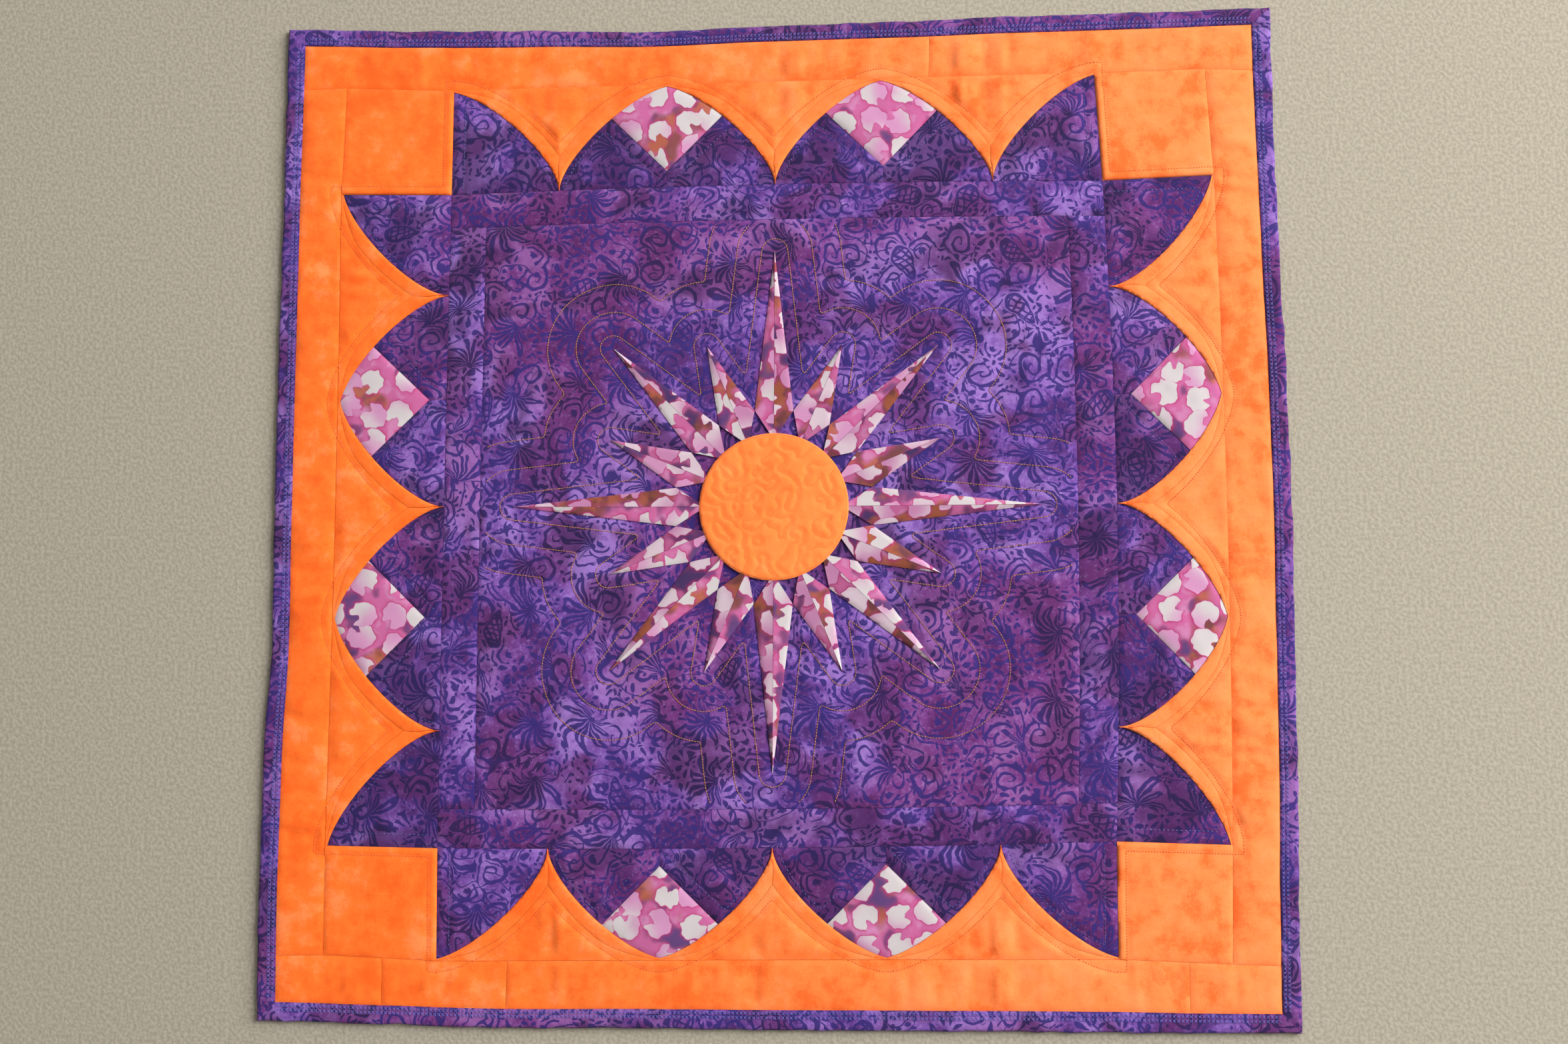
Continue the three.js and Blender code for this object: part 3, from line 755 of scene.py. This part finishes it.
def motifs(place, size, randomness):
    """Scattered motifs about a size apart: distance from the nearest's middle, angle round it, chances."""
    finish = place.finish
    sockets = {"Vector": place, "Scale": 1 / size, "Randomness": randomness}
    nearest = finish.node("TexVoronoi", {"voronoi_dimensions": "2D"}, sockets)
    local = vector(finish, "SUBTRACT", place, nearest.other("Position"))
    chance = finish.node("SeparateColor", {}, {0: nearest.other("Color")})
    x = finish.node("SeparateXYZ", {}, {0: local})
    radius = vector(finish, "LENGTH", local).other("Value")
    return radius, arctan2(x.other("Y"), x) + chance.other("Green") * (2 * math.pi), chance


def ring_line(distance, thickness):
    """A drawn line where a distance is zero."""
    return step(abs(distance), thickness * 1.15, thickness * 0.85)


def oval(across, along, width, length):
    """1 on the rim of an oval, less inside it and more outside."""
    stretched = across.finish.node("CombineXYZ", {}, {0: across / width, 1: along / length})
    return vector(across.finish, "LENGTH", stretched).other("Value")


purple, purple_place = cotton("purple batik")
drawn = wavered(purple_place, scale=0.55, detail=2.0, amount=0.9)

# Leaf tufts that spread from a foot and droop to both sides, with a light vein in each leaf
radius, angle, tuft_chance = motifs(drawn, size=3.9, randomness=0.6)
spread = cosine(angle * 0.5)
leaf_reach = spread * spread * 2.0 + 0.8 + sine(angle * 5 + tuft_chance * 9) * 0.35
leaf_share = radius / leaf_reach
curl = radius * radius * (tuft_chance.other("Blue") - 0.5) * 0.22
leaf_wave = 0.5 - cosine((angle - sine(angle) * radius * 0.2 + curl) * 12) * 0.5
leaf_room = (1 - leaf_share) * 1.7 - leaf_wave
tuft = step(leaf_room, -0.04, 0.08) * step(leaf_wave, 0.95, 0.85)
vein = step(leaf_wave, 0.06, 0.02) * step(abs(leaf_share - 0.5), 0.26, 0.2)
front = step(spread, 0.42, 0.5)
tuft = larger(tuft * front * (1 - vein), step(radius, 0.24, 0.18))
beyond = 1 - step(leaf_share, 1.06, 1.0) * front

# Pods with checks inside them
pod_across, pod_along = cosine(angle) * radius, sine(angle) * radius
pod = oval(pod_across / (1 - pod_along * 0.3), pod_along, 0.62, 1.25)
check_axes = (pod_across + pod_along * 0.4, pod_along)
checks = [step(abs(fraction(axis * 2.3) - 0.5), 0.36, 0.3) for axis in check_axes]
pods = larger(1 - checks[0] * checks[1], ring_line(pod - 0.93, 0.12)) * step(pod, 1.06, 1.02)
is_pod = tuft_chance > 0.86
large_print = tuft * (1 - is_pod) + pods * is_pod
room = beyond * (1 - is_pod) + step(pod, 1.1, 1.2) * is_pod

# Flowers, scrolls and scallops in the room that the tufts and pods leave
moved = vector(purple, "ADD", drawn, (17.3, 9.1, 0.0))
radius, angle, small_chance = motifs(moved, size=2.3, randomness=0.7)
petal_share = (radius - 0.68) / 0.36
petal_room = 1 - petal_share * petal_share
flower = step(cosine(angle * 8) - 1 + petal_room * 1.15, -0.05, 0.12)
flower = larger(flower, step(radius, 0.16, 0.12))
winding = fraction(radius / 0.62 - angle / (2 * math.pi))
scroll = step(abs(winding - 0.5), radius * 0.16 + 0.1, radius * 0.16 + 0.04) * step(radius, 1.2, 1.12)
scallop = ring_line(fraction(radius / 0.42) - 0.5, 0.2) * step(cosine(angle), -0.3, -0.2)
scallop = larger(scallop * step(radius, 1.3, 1.25), step(radius, 0.16, 0.12))
is_flower = small_chance < 0.36
is_scallop = small_chance > 0.68
small_print = flower * is_flower + scallop * is_scallop + scroll * (1 - is_flower) * (1 - is_scallop)

# Dashes and beads that fill the ground between all these
seed_radius, seed_angle, seed_chance = motifs(drawn, size=0.5, randomness=0.8)
dash = oval(cosine(seed_angle) * seed_radius, sine(seed_angle) * seed_radius, 0.1, 0.25)
is_bead = seed_chance > 0.6
filling = step(dash, 1.1, 0.85) * (1 - is_bead) + step(seed_radius, 0.15, 0.1) * is_bead
filling = filling * step(radius, 1.02, 1.1)

# Stems that wander between the motifs, and a fine spatter of dots
stems = ring_line(fraction(mottle(drawn, 0.3, 0.0) * 7) - 0.5, 0.075)
stems = stems * step(mottle(drawn, 0.4, 0.0), 0.42, 0.48)
dot_radius, _, dot_chance = motifs(purple_place, size=0.17, randomness=1.0)
spatter = step(dot_radius, 0.036, 0.02) * (dot_chance < 0.3)
printed = larger(larger(small_print, filling) * room, large_print)
printed = larger(printed, larger(stems * room, spatter * 0.5))

# Ground of the batik: pools of lavender, violet and plum, light crackle, and darker smoky places
pool = mottle(purple_place, 0.15)
crackle = mottle(purple_place, 3.0, 4.0, 0.75)
ground = pool * 0.45 + mottle(purple_place, 0.55, 4.0, 0.6) * 0.35 + crackle * 0.2
tint = step(mottle(purple_place, 0.05, 1.0), 0.42, 0.6)
violet = blend(tint, "462365", "511c58")
violet = blend(step(ground, 0.38, 0.5), violet, blend(tint, "6d4596", "6e3479"))
violet = blend(step(ground, 0.47, 0.59), violet, blend(tint, "8e69b3", "875293"))
plum = step(mottle(purple_place, 0.24), 0.48, 0.64)
violet = blend(plum * 0.7, violet, "5c245f")
violet = blend(step(crackle, 0.56, 0.74) * 0.3, violet, "9b7eb1")
purple_colour = blend(printed * 0.92, violet, blend(plum, "2c2068", "251447"))
smoke = mottle(purple_place, 0.32, 3.0, 0.55)
dark = dye_depth(purple) * 0.7 + (pool - 0.5) * 1.2 + (smoke - 0.54) * 2 + plum * 0.2
dark_colour = blend(printed, "3e1850", "1c0f3e")
purple.feed("Base Color", blend(step(dark, 0.1, 0.7) * 0.75, purple_colour, dark_colour))
swell(purple, weave(purple_place) + crackle * 0.5 + mottle(purple_place, 1.4) * 2.5, distance=0.00016)

panel_plain = quilted(puff=0.9, seed=70)


def panel_height(x, y, rim):
    waves = 0.6 * uneven(x, y, size=38, seed=73) + 0.45 * uneven(x + y, x - y, size=17, seed=74)
    swollen = panel_plain(x, y, rim) + waves * rise(rim, width=8)
    beside = np.where(inside_star(x, y), 0, rise(to_star(x, y), width=4))
    return SEAM_HEIGHT + PANEL_FLAT + (swollen - SEAM_HEIGHT - PANEL_FLAT) * beside


panel = Cloth()
panel_cut = cut_from()
panel_cut["turn"] -= 90  # laid a quarter turn round
panel.add(square(-PANEL, -PANEL, PANEL, PANEL), panel_height, PATCH_BASE, PURPLE_PITCH, panel_cut)
lay(panel, "middle_panel", purple, (2 * PANEL, 2 * PANEL))
for number, side in enumerate(SIDES):
    strip = Cloth()
    reach = PANEL if side in ("left", "right") else FIELD
    outline = turned(side, square(-reach, PANEL, reach, FIELD))
    plain = quilted(puff=0.8, seed=76 + number)
    strip.add(outline, plain, PATCH_BASE, PURPLE_PITCH, cut_from(lightest=0, darkest=0.4))
    lay(strip, f"inner_strip_{side}", purple, (2 * reach, INNER_STRIP))

# Petals and half petals: purple shapes on the field's edge. Each whole petal is pieced from two halves
# that meet in a seam below its tip square, and each half is quilted with its own blue line.
meeting = int(np.argmax(flank[:, 1] > SQUARE_FOOT + BLOCK - flank[:, 0]))  # where square and flank meet
SQUARE_HALF = BLOCK - flank[meeting, 0]
petal_rim = flank - (BLOCK, 0)
half_petal = np.concatenate([[(-BLOCK, 0), (0, 0)], petal_rim[:0:-1]])
petal_half = [(-BLOCK, 0), (0, 0), (0, SQUARE_FOOT), (-SQUARE_HALF, SQUARE_FOOT + SQUARE_HALF)]
petal_half = np.concatenate([petal_half, petal_rim[meeting - 1 : 0 : -1]])
purple_shapes = {}
for side in SIDES:
    for index, middle in enumerate(PETALS, 1):
        halves = [half + (middle, FIELD) for half in (petal_half, mirrored(petal_half))]
        purple_shapes[f"petal_{side}_{index}"] = [turned(side, half) for half in halves]
    purple_shapes[f"half_petal_{side}_right"] = [turned(side, half_petal + (FIELD, FIELD))]
    purple_shapes[f"half_petal_{side}_left"] = [turned(side, mirrored(half_petal) + (-FIELD, FIELD))]
for number, (node, shapes) in enumerate(purple_shapes.items()):
    petal = Cloth()
    plain = quilted(puff=0.8, seed=90 + number)
    for shape in shapes:
        petal.add(shape, plain, PATCH_BASE, PURPLE_PITCH, cut_from(lightest=0, darkest=1))
    lay(petal, node, purple, (len(shapes) * BLOCK, BLOCK))

# Tip squares: pink batik squares set on their corner in the petals' tips, rounded off by the petal's rim.
# The cloth is printed with pale notched blots on a wash of rose that runs to plum, violet and rust.
PINK_TONES = ["pale", "lilac", "crimson", "rose", "plum", "violet", "brown", "rust"]
PINK_CLOTHS = {
    "pink batik": ["bcb3b4", "bb82a7", "a82f69", "b45b8b", "78406a", "57386a", "6f3b2b", "a0562a"],
    # The second batik is the first one darkened, as painted shade on one side of each star point.
    "shaded pink batik": ["bba7b0", "a97094", "8d2558", "a2527d", "643157", "3d2753", "5f3226", "8a4823"],
}
pink_finishes = {}
for name, codes in PINK_CLOTHS.items():
    tone = dict(zip(PINK_TONES, codes))
    pink, pink_place = cotton(name)
    blurred = wavered(pink_place, scale=1.1, detail=1.0, amount=0.5)
    radius, angle, chance = motifs(blurred, size=2.05, randomness=0.4)
    bite = step(cosine(angle), 0.9, 0.98) * step(radius, 0.1, 0.45)
    lobes = sine(angle * 9 + chance * 40) * 0.03
    inside = chance * 0.16 + 0.8 - bite * 0.75 + lobes - radius
    halo = step(inside, -0.4, 0.0) * 0.3 + step(abs(inside + 0.02), 0.06, 0.02) * 0.55
    depth = dye_depth(pink)
    wash = mottle(pink_place, 0.45, 1.5) + depth * 0.16
    stain = mottle(pink_place, 0.24) + depth * 0.08
    washed = blend(step(wash, 0.58, 0.7), tone["plum"], tone["violet"])
    stained = blend(step(mottle(pink_place, 0.6), 0.42, 0.58), tone["brown"], tone["rust"])
    pink_ground = blend(step(mottle(pink_place, 0.8), 0.5, 0.66) * 0.55, tone["rose"], tone["lilac"])
    pink_ground = blend(step(wash, 0.53, 0.62), pink_ground, washed)
    pink_ground = blend(step(stain, 0.56, 0.66) * 0.85, pink_ground, stained)
    pink_ground = blend(halo, pink_ground, tone["crimson"])
    soak = cosine(angle - chance * 12) * radius * 0.45 + chance.other("Blue")
    soak = larger(step(soak, 0.2, 0.95), step(inside, 0.09, 0.0) * 0.5)
    blot_colour = blend(soak, tone["pale"], tone["lilac"])
    pink.feed("Base Color", blend(step(inside, 0.0, 0.025), pink_ground, blot_colour))
    swell(pink, weave(pink_place), distance=0.00014)
    pink_finishes[name] = pink

tip_rim = petal_rim[meeting:]
tip_shape = np.concatenate([[(0, SQUARE_FOOT)], (tip_rim * (-1, 1))[:-1], tip_rim[::-1]])
for number, side in enumerate(SIDES):
    for index, middle in enumerate(PETALS, 1):
        tip = Cloth()
        outline = turned(side, tip_shape + (middle, FIELD))
        plain = quilted(puff=0.9, seed=120 + 2 * number + index)
        tip.add(outline, plain, PATCH_BASE, PURPLE_PITCH, cut_from(lightest=-0.8, darkest=0.3))
        flat = (2 * SQUARE_HALF, BLOCK - SQUARE_FOOT)
        lay(tip, f"tip_square_{side}_{index}", pink_finishes["pink batik"], flat)

# Star: straight points of three lengths, each pieced lengthwise from a light and a deep pink half,
# turned under and sewn down on the panel. The deep half is painted shade: a darker copy of the pink batik
# on one side of every point. The halves meet in a low ridge.
STAR_BASE = 3.9
STAR_FOLD = 0.2  # thickness of the turned-under edge
STAR_RISE = 0.8  # from the edge to the face
STAR_RIDGE = 0.5
STAR_HUB = 46
STAR_CUT = (170, 100)  # cloth that the halves of one colour are cut from
for name, finish, hand in (("light", "pink batik", 1), ("deep", "shaded pink batik", -1)):
    halves = Cloth()
    for point in range(STAR_POINTS):
        turns = point / STAR_POINTS
        tip = star_corner(STAR_REACH[point % len(STAR_REACH)], turns)
        hub = star_corner(STAR_HUB, turns)
        valley = star_corner(STAR_VALLEY, turns + hand * 0.5 / STAR_POINTS)
        to_ridge = distance_to([[hub, tip]])
        to_edge = distance_to([[tip, valley]])

        def star_height(x, y, rim):
            face = STAR_RISE + STAR_RIDGE * fade(to_ridge(x, y), width=5)
            return STAR_BASE + STAR_FOLD + face * rise(to_edge(x, y), width=0.8)

        outline = [hub, tip, valley] if hand > 0 else [hub, valley, tip]
        halves.add(outline, star_height, STAR_BASE, pitch=1.8, cut=cut_from(lightest=0, darkest=1))
    piece = halves.make(f"star_{name}_halves", pink_finishes[finish])
    if hand > 0:
        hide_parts("compass_star")
    declare(piece, STAR_CUT, halves.area)

# Disc: a round of orange over the star's middle, lightly padded and stippled all over with a
# wandering line of orange stitches, its edge turned under and held down by a row of fine stitches.
DISC_RADIUS = 50.8
DISC_BASE = 4.9
DISC_EDGE = 0.5
DISC_PUFF = 1.7
STIPPLE_GRID = 1.0
STIPPLE = {"size": 6.2, "margin": 3.5, "depth": 0.7, "width": 2.1, "break": 3, "shortest": 5}
disc_angles = np.linspace(0, 2 * math.pi, 180, endpoint=False)
disc_outline = DISC_RADIUS * np.stack([np.cos(disc_angles), np.sin(disc_angles)], 1)
disc_axis = np.arange(-DISC_RADIUS, DISC_RADIUS + STIPPLE_GRID, STIPPLE_GRID)
disc_x, disc_y = np.meshgrid(disc_axis, disc_axis, indexing="ij")
stipple_field = uneven(disc_x, disc_y, STIPPLE["size"], seed=9)
stipple_field += uneven(disc_x + disc_y, disc_x - disc_y, STIPPLE["size"] * math.sqrt(2), seed=10)
stipple_runs = []
for run in contours(stipple_field, 0.0, -DISC_RADIUS, STIPPLE_GRID):
    run = run[np.hypot(run[:, 0], run[:, 1]) < DISC_RADIUS - STIPPLE["margin"]]
    gaps = np.linalg.norm(np.diff(run, axis=0), axis=1)
    parts = np.split(run, np.flatnonzero(gaps > STIPPLE["break"]) + 1)
    stipple_runs += [part for part in parts if len(part) > STIPPLE["shortest"]]
to_stipple = distance_to(stipple_runs)


def disc_height(x, y, rim):
    dimples = STIPPLE["depth"] * dip(to_stipple(x, y), STIPPLE["width"])
    return DISC_BASE + DISC_EDGE + DISC_PUFF * rise(rim, width=2.5) - dimples * rise(rim, width=2)


disc = Cloth()
disc.add(disc_outline, disc_height, DISC_BASE, pitch=1.2, cut=cut_from(lightest=1, darkest=1))
lay(disc, "padded_disc", orange, (2 * DISC_RADIUS, 2 * DISC_RADIUS))

# Binding: a strip of the purple batik folded over each edge and sewn down on both faces, with mitred
# corners. Each row of its section is a depth in from the edge and a height.
BINDING_SECTION = np.array(
    [
        (12.7, 0.05), (9.0, 0.0), (4.0, 0.0), (1.3, 0.05), (0.45, 0.5), (0.05, 1.3), (0.0, 2.1), (0.2, 2.9),
        (0.8, 3.6), (1.9, 4.05), (3.4, 4.25), (5.2, 4.3), (7.0, 4.2), (9.0, 4.05), (11.0, 4.0), (12.2, 3.85),
        (12.7, 3.5), (12.7, 2.65), (1.3, 2.6), (1.3, 1.1), (12.7, 1.05),
    ]
)
BINDING_END = 16  # row where the outer face of the fold ends
BINDING_PITCH = 2.5
BINDING_WAVY = 9  # depth in from the edge where the edge's wavering ends
MITRE = {"depth": 0.3, "width": 1.5}  # groove where two sides meet at a corner
depths, heights = BINDING_SECTION.T
girth = np.concatenate([[0], np.cumsum(np.hypot(*np.diff(BINDING_SECTION, axis=0).T))])
upper_face = heights > SEAM_HEIGHT
count = len(BINDING_SECTION)
for number, side in enumerate(SIDES):
    binding = Cloth()
    start = draws.uniform(0, PRINT_REACH, 2)
    shares = np.linspace(-1, 1, int(2 * HALF / BINDING_PITCH))
    for share in shares:
        along = share * (HALF - depths)
        wave = 0.5 * uneven(along, 0 * along, size=11, seed=160 + number)
        wave *= np.clip(1 - depths / BINDING_WAVY, 0, 1)
        x, y = settle(*turned(side, np.stack([along, HALF - depths + wave], 1)).T)
        puckers = 0.16 * uneven(x, y, size=7, seed=140 + number)
        puckers += 0.2 * uneven(x, y, size=19, seed=150 + number)
        puckers -= MITRE["depth"] * dip((1 - abs(share)) * HALF, MITRE["width"])
        binding.points.append(np.stack([x, y, heights + upper_face * puckers], 1))
        binding.prints.append(np.stack([along, girth], 1) / 10 + start)
    last = (len(shares) - 1) * count
    for first in range(0, last, count):
        for k in range(count):
            a, b = first + k, first + (k + 1) % count
            binding.faces.append((a, b, b + count, a + count))
    binding.faces += [tuple(reversed(range(count))), tuple(range(last, last + count))]
    binding.depths = [0.0] * (last + count)
    width = girth[BINDING_END]
    binding.area = 2 * (HALF - BINDING / 2) * width
    lay(binding, f"binding_{side}", purple, (2 * HALF, width))

# Stitches: machine-sewn thread along the quilting lines. Geometry Nodes turn each short edge of a path
# into one stitch, a grain of thread half sunk in the cloth.
stitching = bpy.data.node_groups.new("stitches", "GeometryNodeTree")
SEWN_FROM = 0.05  # height in metres from which the cloth's face is looked for
UPWARD = 0.2  # least upward part of the normal of a face that can be sewn
STITCH_SOCKETS = {"Path": "Geometry", "Thread Radius": "Float", "Fill": "Float", "Thread": "Material"}
stitch_inputs = {}
for name, kind in STITCH_SOCKETS.items():
    made = stitching.interface.new_socket(name, in_out="INPUT", socket_type=f"NodeSocket{kind}")
    stitch_inputs[name] = made.identifier
stitching.interface.new_socket("Stitches", in_out="OUTPUT", socket_type="NodeSocketGeometry")


def tree_node(kind, links, **settings):
    made = stitching.nodes.new(kind)
    for name, value in settings.items():
        setattr(made, name, value)
    for key, source in links.items():
        if hasattr(source, "is_linked"):
            stitching.links.new(source, made.inputs[key])
        else:
            made.inputs[key].default_value = source
    return made.outputs


given = tree_node("NodeGroupInput", {})
edge_ends = tree_node("GeometryNodeInputMeshEdgeVertices", {})
ends = {0: edge_ends["Position 2"], 1: edge_ends["Position 1"]}
run = tree_node("ShaderNodeVectorMath", ends, operation="SUBTRACT")
captured = tree_node("GeometryNodeCaptureAttribute", {"Geometry": given["Path"]}, domain="EDGE")
capture = captured["Geometry"].node
capture.capture_items.new("VECTOR", "Run")
stitching.links.new(run[0], capture.inputs["Run"])
middles = tree_node("GeometryNodeMeshToPoints", {"Mesh": capture.outputs["Geometry"]}, mode="EDGES")
aligned = tree_node("FunctionNodeAlignRotationToVector", {"Vector": capture.outputs["Run"]}, axis="X")
run_length = tree_node("ShaderNodeVectorMath", {0: capture.outputs["Run"]}, operation="LENGTH")
half_fill = tree_node("ShaderNodeMath", {0: given["Fill"], 1: 0.5}, operation="MULTIPLY")
half_run = tree_node("ShaderNodeMath", {0: run_length["Value"], 1: half_fill[0]}, operation="MULTIPLY")
size = {"X": half_run[0], "Y": given["Thread Radius"], "Z": given["Thread Radius"]}
stitch_size = tree_node("ShaderNodeCombineXYZ", size)
grain_shape = tree_node("GeometryNodeMeshUVSphere", {"Segments": 6, "Rings": 3, "Radius": 1.0})
grains = {"Points": middles[0], "Instance": grain_shape["Mesh"]}
grains |= {"Rotation": aligned[0], "Scale": stitch_size[0]}
placed = tree_node("GeometryNodeInstanceOnPoints", grains)
real = tree_node("GeometryNodeRealizeInstances", {"Geometry": placed[0]})
coloured = tree_node("GeometryNodeSetMaterial", {"Geometry": real[0], "Material": given["Thread"]})
smooth = tree_node("GeometryNodeSetShadeSmooth", {"Geometry": coloured[0]})
tree_node("NodeGroupOutput", {"Stitches": smooth[0]})

top_points, top_faces = [], []
for piece in cloths[1:]:  # all but the back
    first = len(top_points)
    top_points += [tuple(vertex.co) for vertex in piece.data.vertices]
    upward = [face for face in piece.data.polygons if face.normal.z > UPWARD]
    top_faces += [tuple(first + i for i in face.vertices) for face in upward]
cloth_face = BVHTree.FromPolygons(top_points, top_faces)


def thread(name, light, dark):
    finish = Finish(name, {"Roughness": 0.5, "Specular IOR Level": 0.4, "Sheen Weight": 0.2})
    place = finish.node("TexCoord", {}, {}, "Object")
    finish.feed("Base Color", blend(step(mottle(place, 900.0), 0.35, 0.65), dark, light))
    return finish


def spaced(run, pitch):
    """Places along a run, a stitch apart."""
    steps = np.concatenate([[0], np.cumsum(np.linalg.norm(np.diff(run, axis=0), axis=1))])
    count = max(2, int(round(steps[-1] / pitch)) + 1)
    at = np.linspace(0, steps[-1], count)
    return np.stack([np.interp(at, steps, run[:, 0]), np.interp(at, steps, run[:, 1])], 1)


def sew(name, runs, finish, radius, fill, lift, pitch=None):
    """Sews runs on the face of the cloth, with stitches a pitch long or else from place to place."""
    points, edges = [], []
    for run in runs:
        run = spaced(run, pitch) if pitch else run
        x, y = settle(run[:, 0], run[:, 1])
        for k, (a, b) in enumerate(zip(x / 1000, y / 1000)):
            hit = cloth_face.ray_cast(Vector((a, b, SEWN_FROM)), Vector((0, 0, -1)))[0]
            if hit is None:
                continue
            points.append((a, b, hit.z + lift / 1000))
            if k and len(points) > 1:
                edges.append((len(points) - 2, len(points) - 1))
    path_mesh = bpy.data.meshes.new(name)
    path_mesh.from_pydata(points, edges, [])
    path = bpy.data.objects.new(name, path_mesh)
    scene.collection.objects.link(path)
    modifier = path.modifiers.new("stitches", "NODES")
    modifier.node_group = stitching
    modifier[stitch_inputs["Thread Radius"]] = radius / 1000
    modifier[stitch_inputs["Fill"]] = fill
    modifier[stitch_inputs["Thread"]] = finish.material
    sewn = bpy.data.meshes.new_from_object(path.evaluated_get(bpy.context.evaluated_depsgraph_get()))
    path.modifiers.remove(modifier)
    path.data = sewn
    sewn.name = name
    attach(path, "root")


burnt_thread = thread("burnt orange thread", "dd510d", "c44008")
blue_thread = thread("dark blue thread", "484890", "272761")
gold_thread = thread("copper gold thread", "ae7235", "7d4921")
sew("orange_stitches", orange_runs, burnt_thread, radius=0.44, fill=0.5, lift=0.05, pitch=1.9)
sew("blue_stitches", blue_runs, blue_thread, radius=0.3, fill=0.75, lift=0.1, pitch=2.9)
sew("gold_stitches", gold_runs, gold_thread, radius=0.32, fill=1.1, lift=0.12, pitch=1.9)

# Disc stitches: the stippled line and the row along the disc's edge, both in fine orange thread.
# They are made like the stitches of the quilting, thinner and closer together.
EDGE_ROW = 1.3  # distance of the row of stitches inside the disc's edge
edge_row = np.concatenate([disc_outline, disc_outline[:1]]) * (1 - EDGE_ROW / DISC_RADIUS)
runs = [*stipple_runs, edge_row]
sew("disc_stitches", runs, burnt_thread, radius=0.24, fill=0.55, lift=0.05, pitch=1.5)

# Binding stitches: a lattice of crossed stitches in blue violet thread along the binding's inner edge.
# Each slanting line is two stitches long, and the next one starts a little further on.
LATTICE = {"inner": 12.2, "outer": 6.6, "end": 13, "pitch": 2.8}  # distances in from the edge, and along it
lattice_thread = thread("blue violet thread", "5a55ab", "3e3a81")
reach = HALF - LATTICE["end"]
lean = LATTICE["inner"] - LATTICE["outer"]
runs = []
for side in SIDES:
    for along in np.arange(-reach, reach - lean, LATTICE["pitch"]):
        for start, stop in ((along, along + lean), (along + lean, along)):
            line = np.linspace((start, HALF - LATTICE["inner"]), (stop, HALF - LATTICE["outer"]), 3)
            runs.append(turned(side, line))
sew("binding_stitches", runs, lattice_thread, radius=0.24, fill=1.0, lift=0.12)
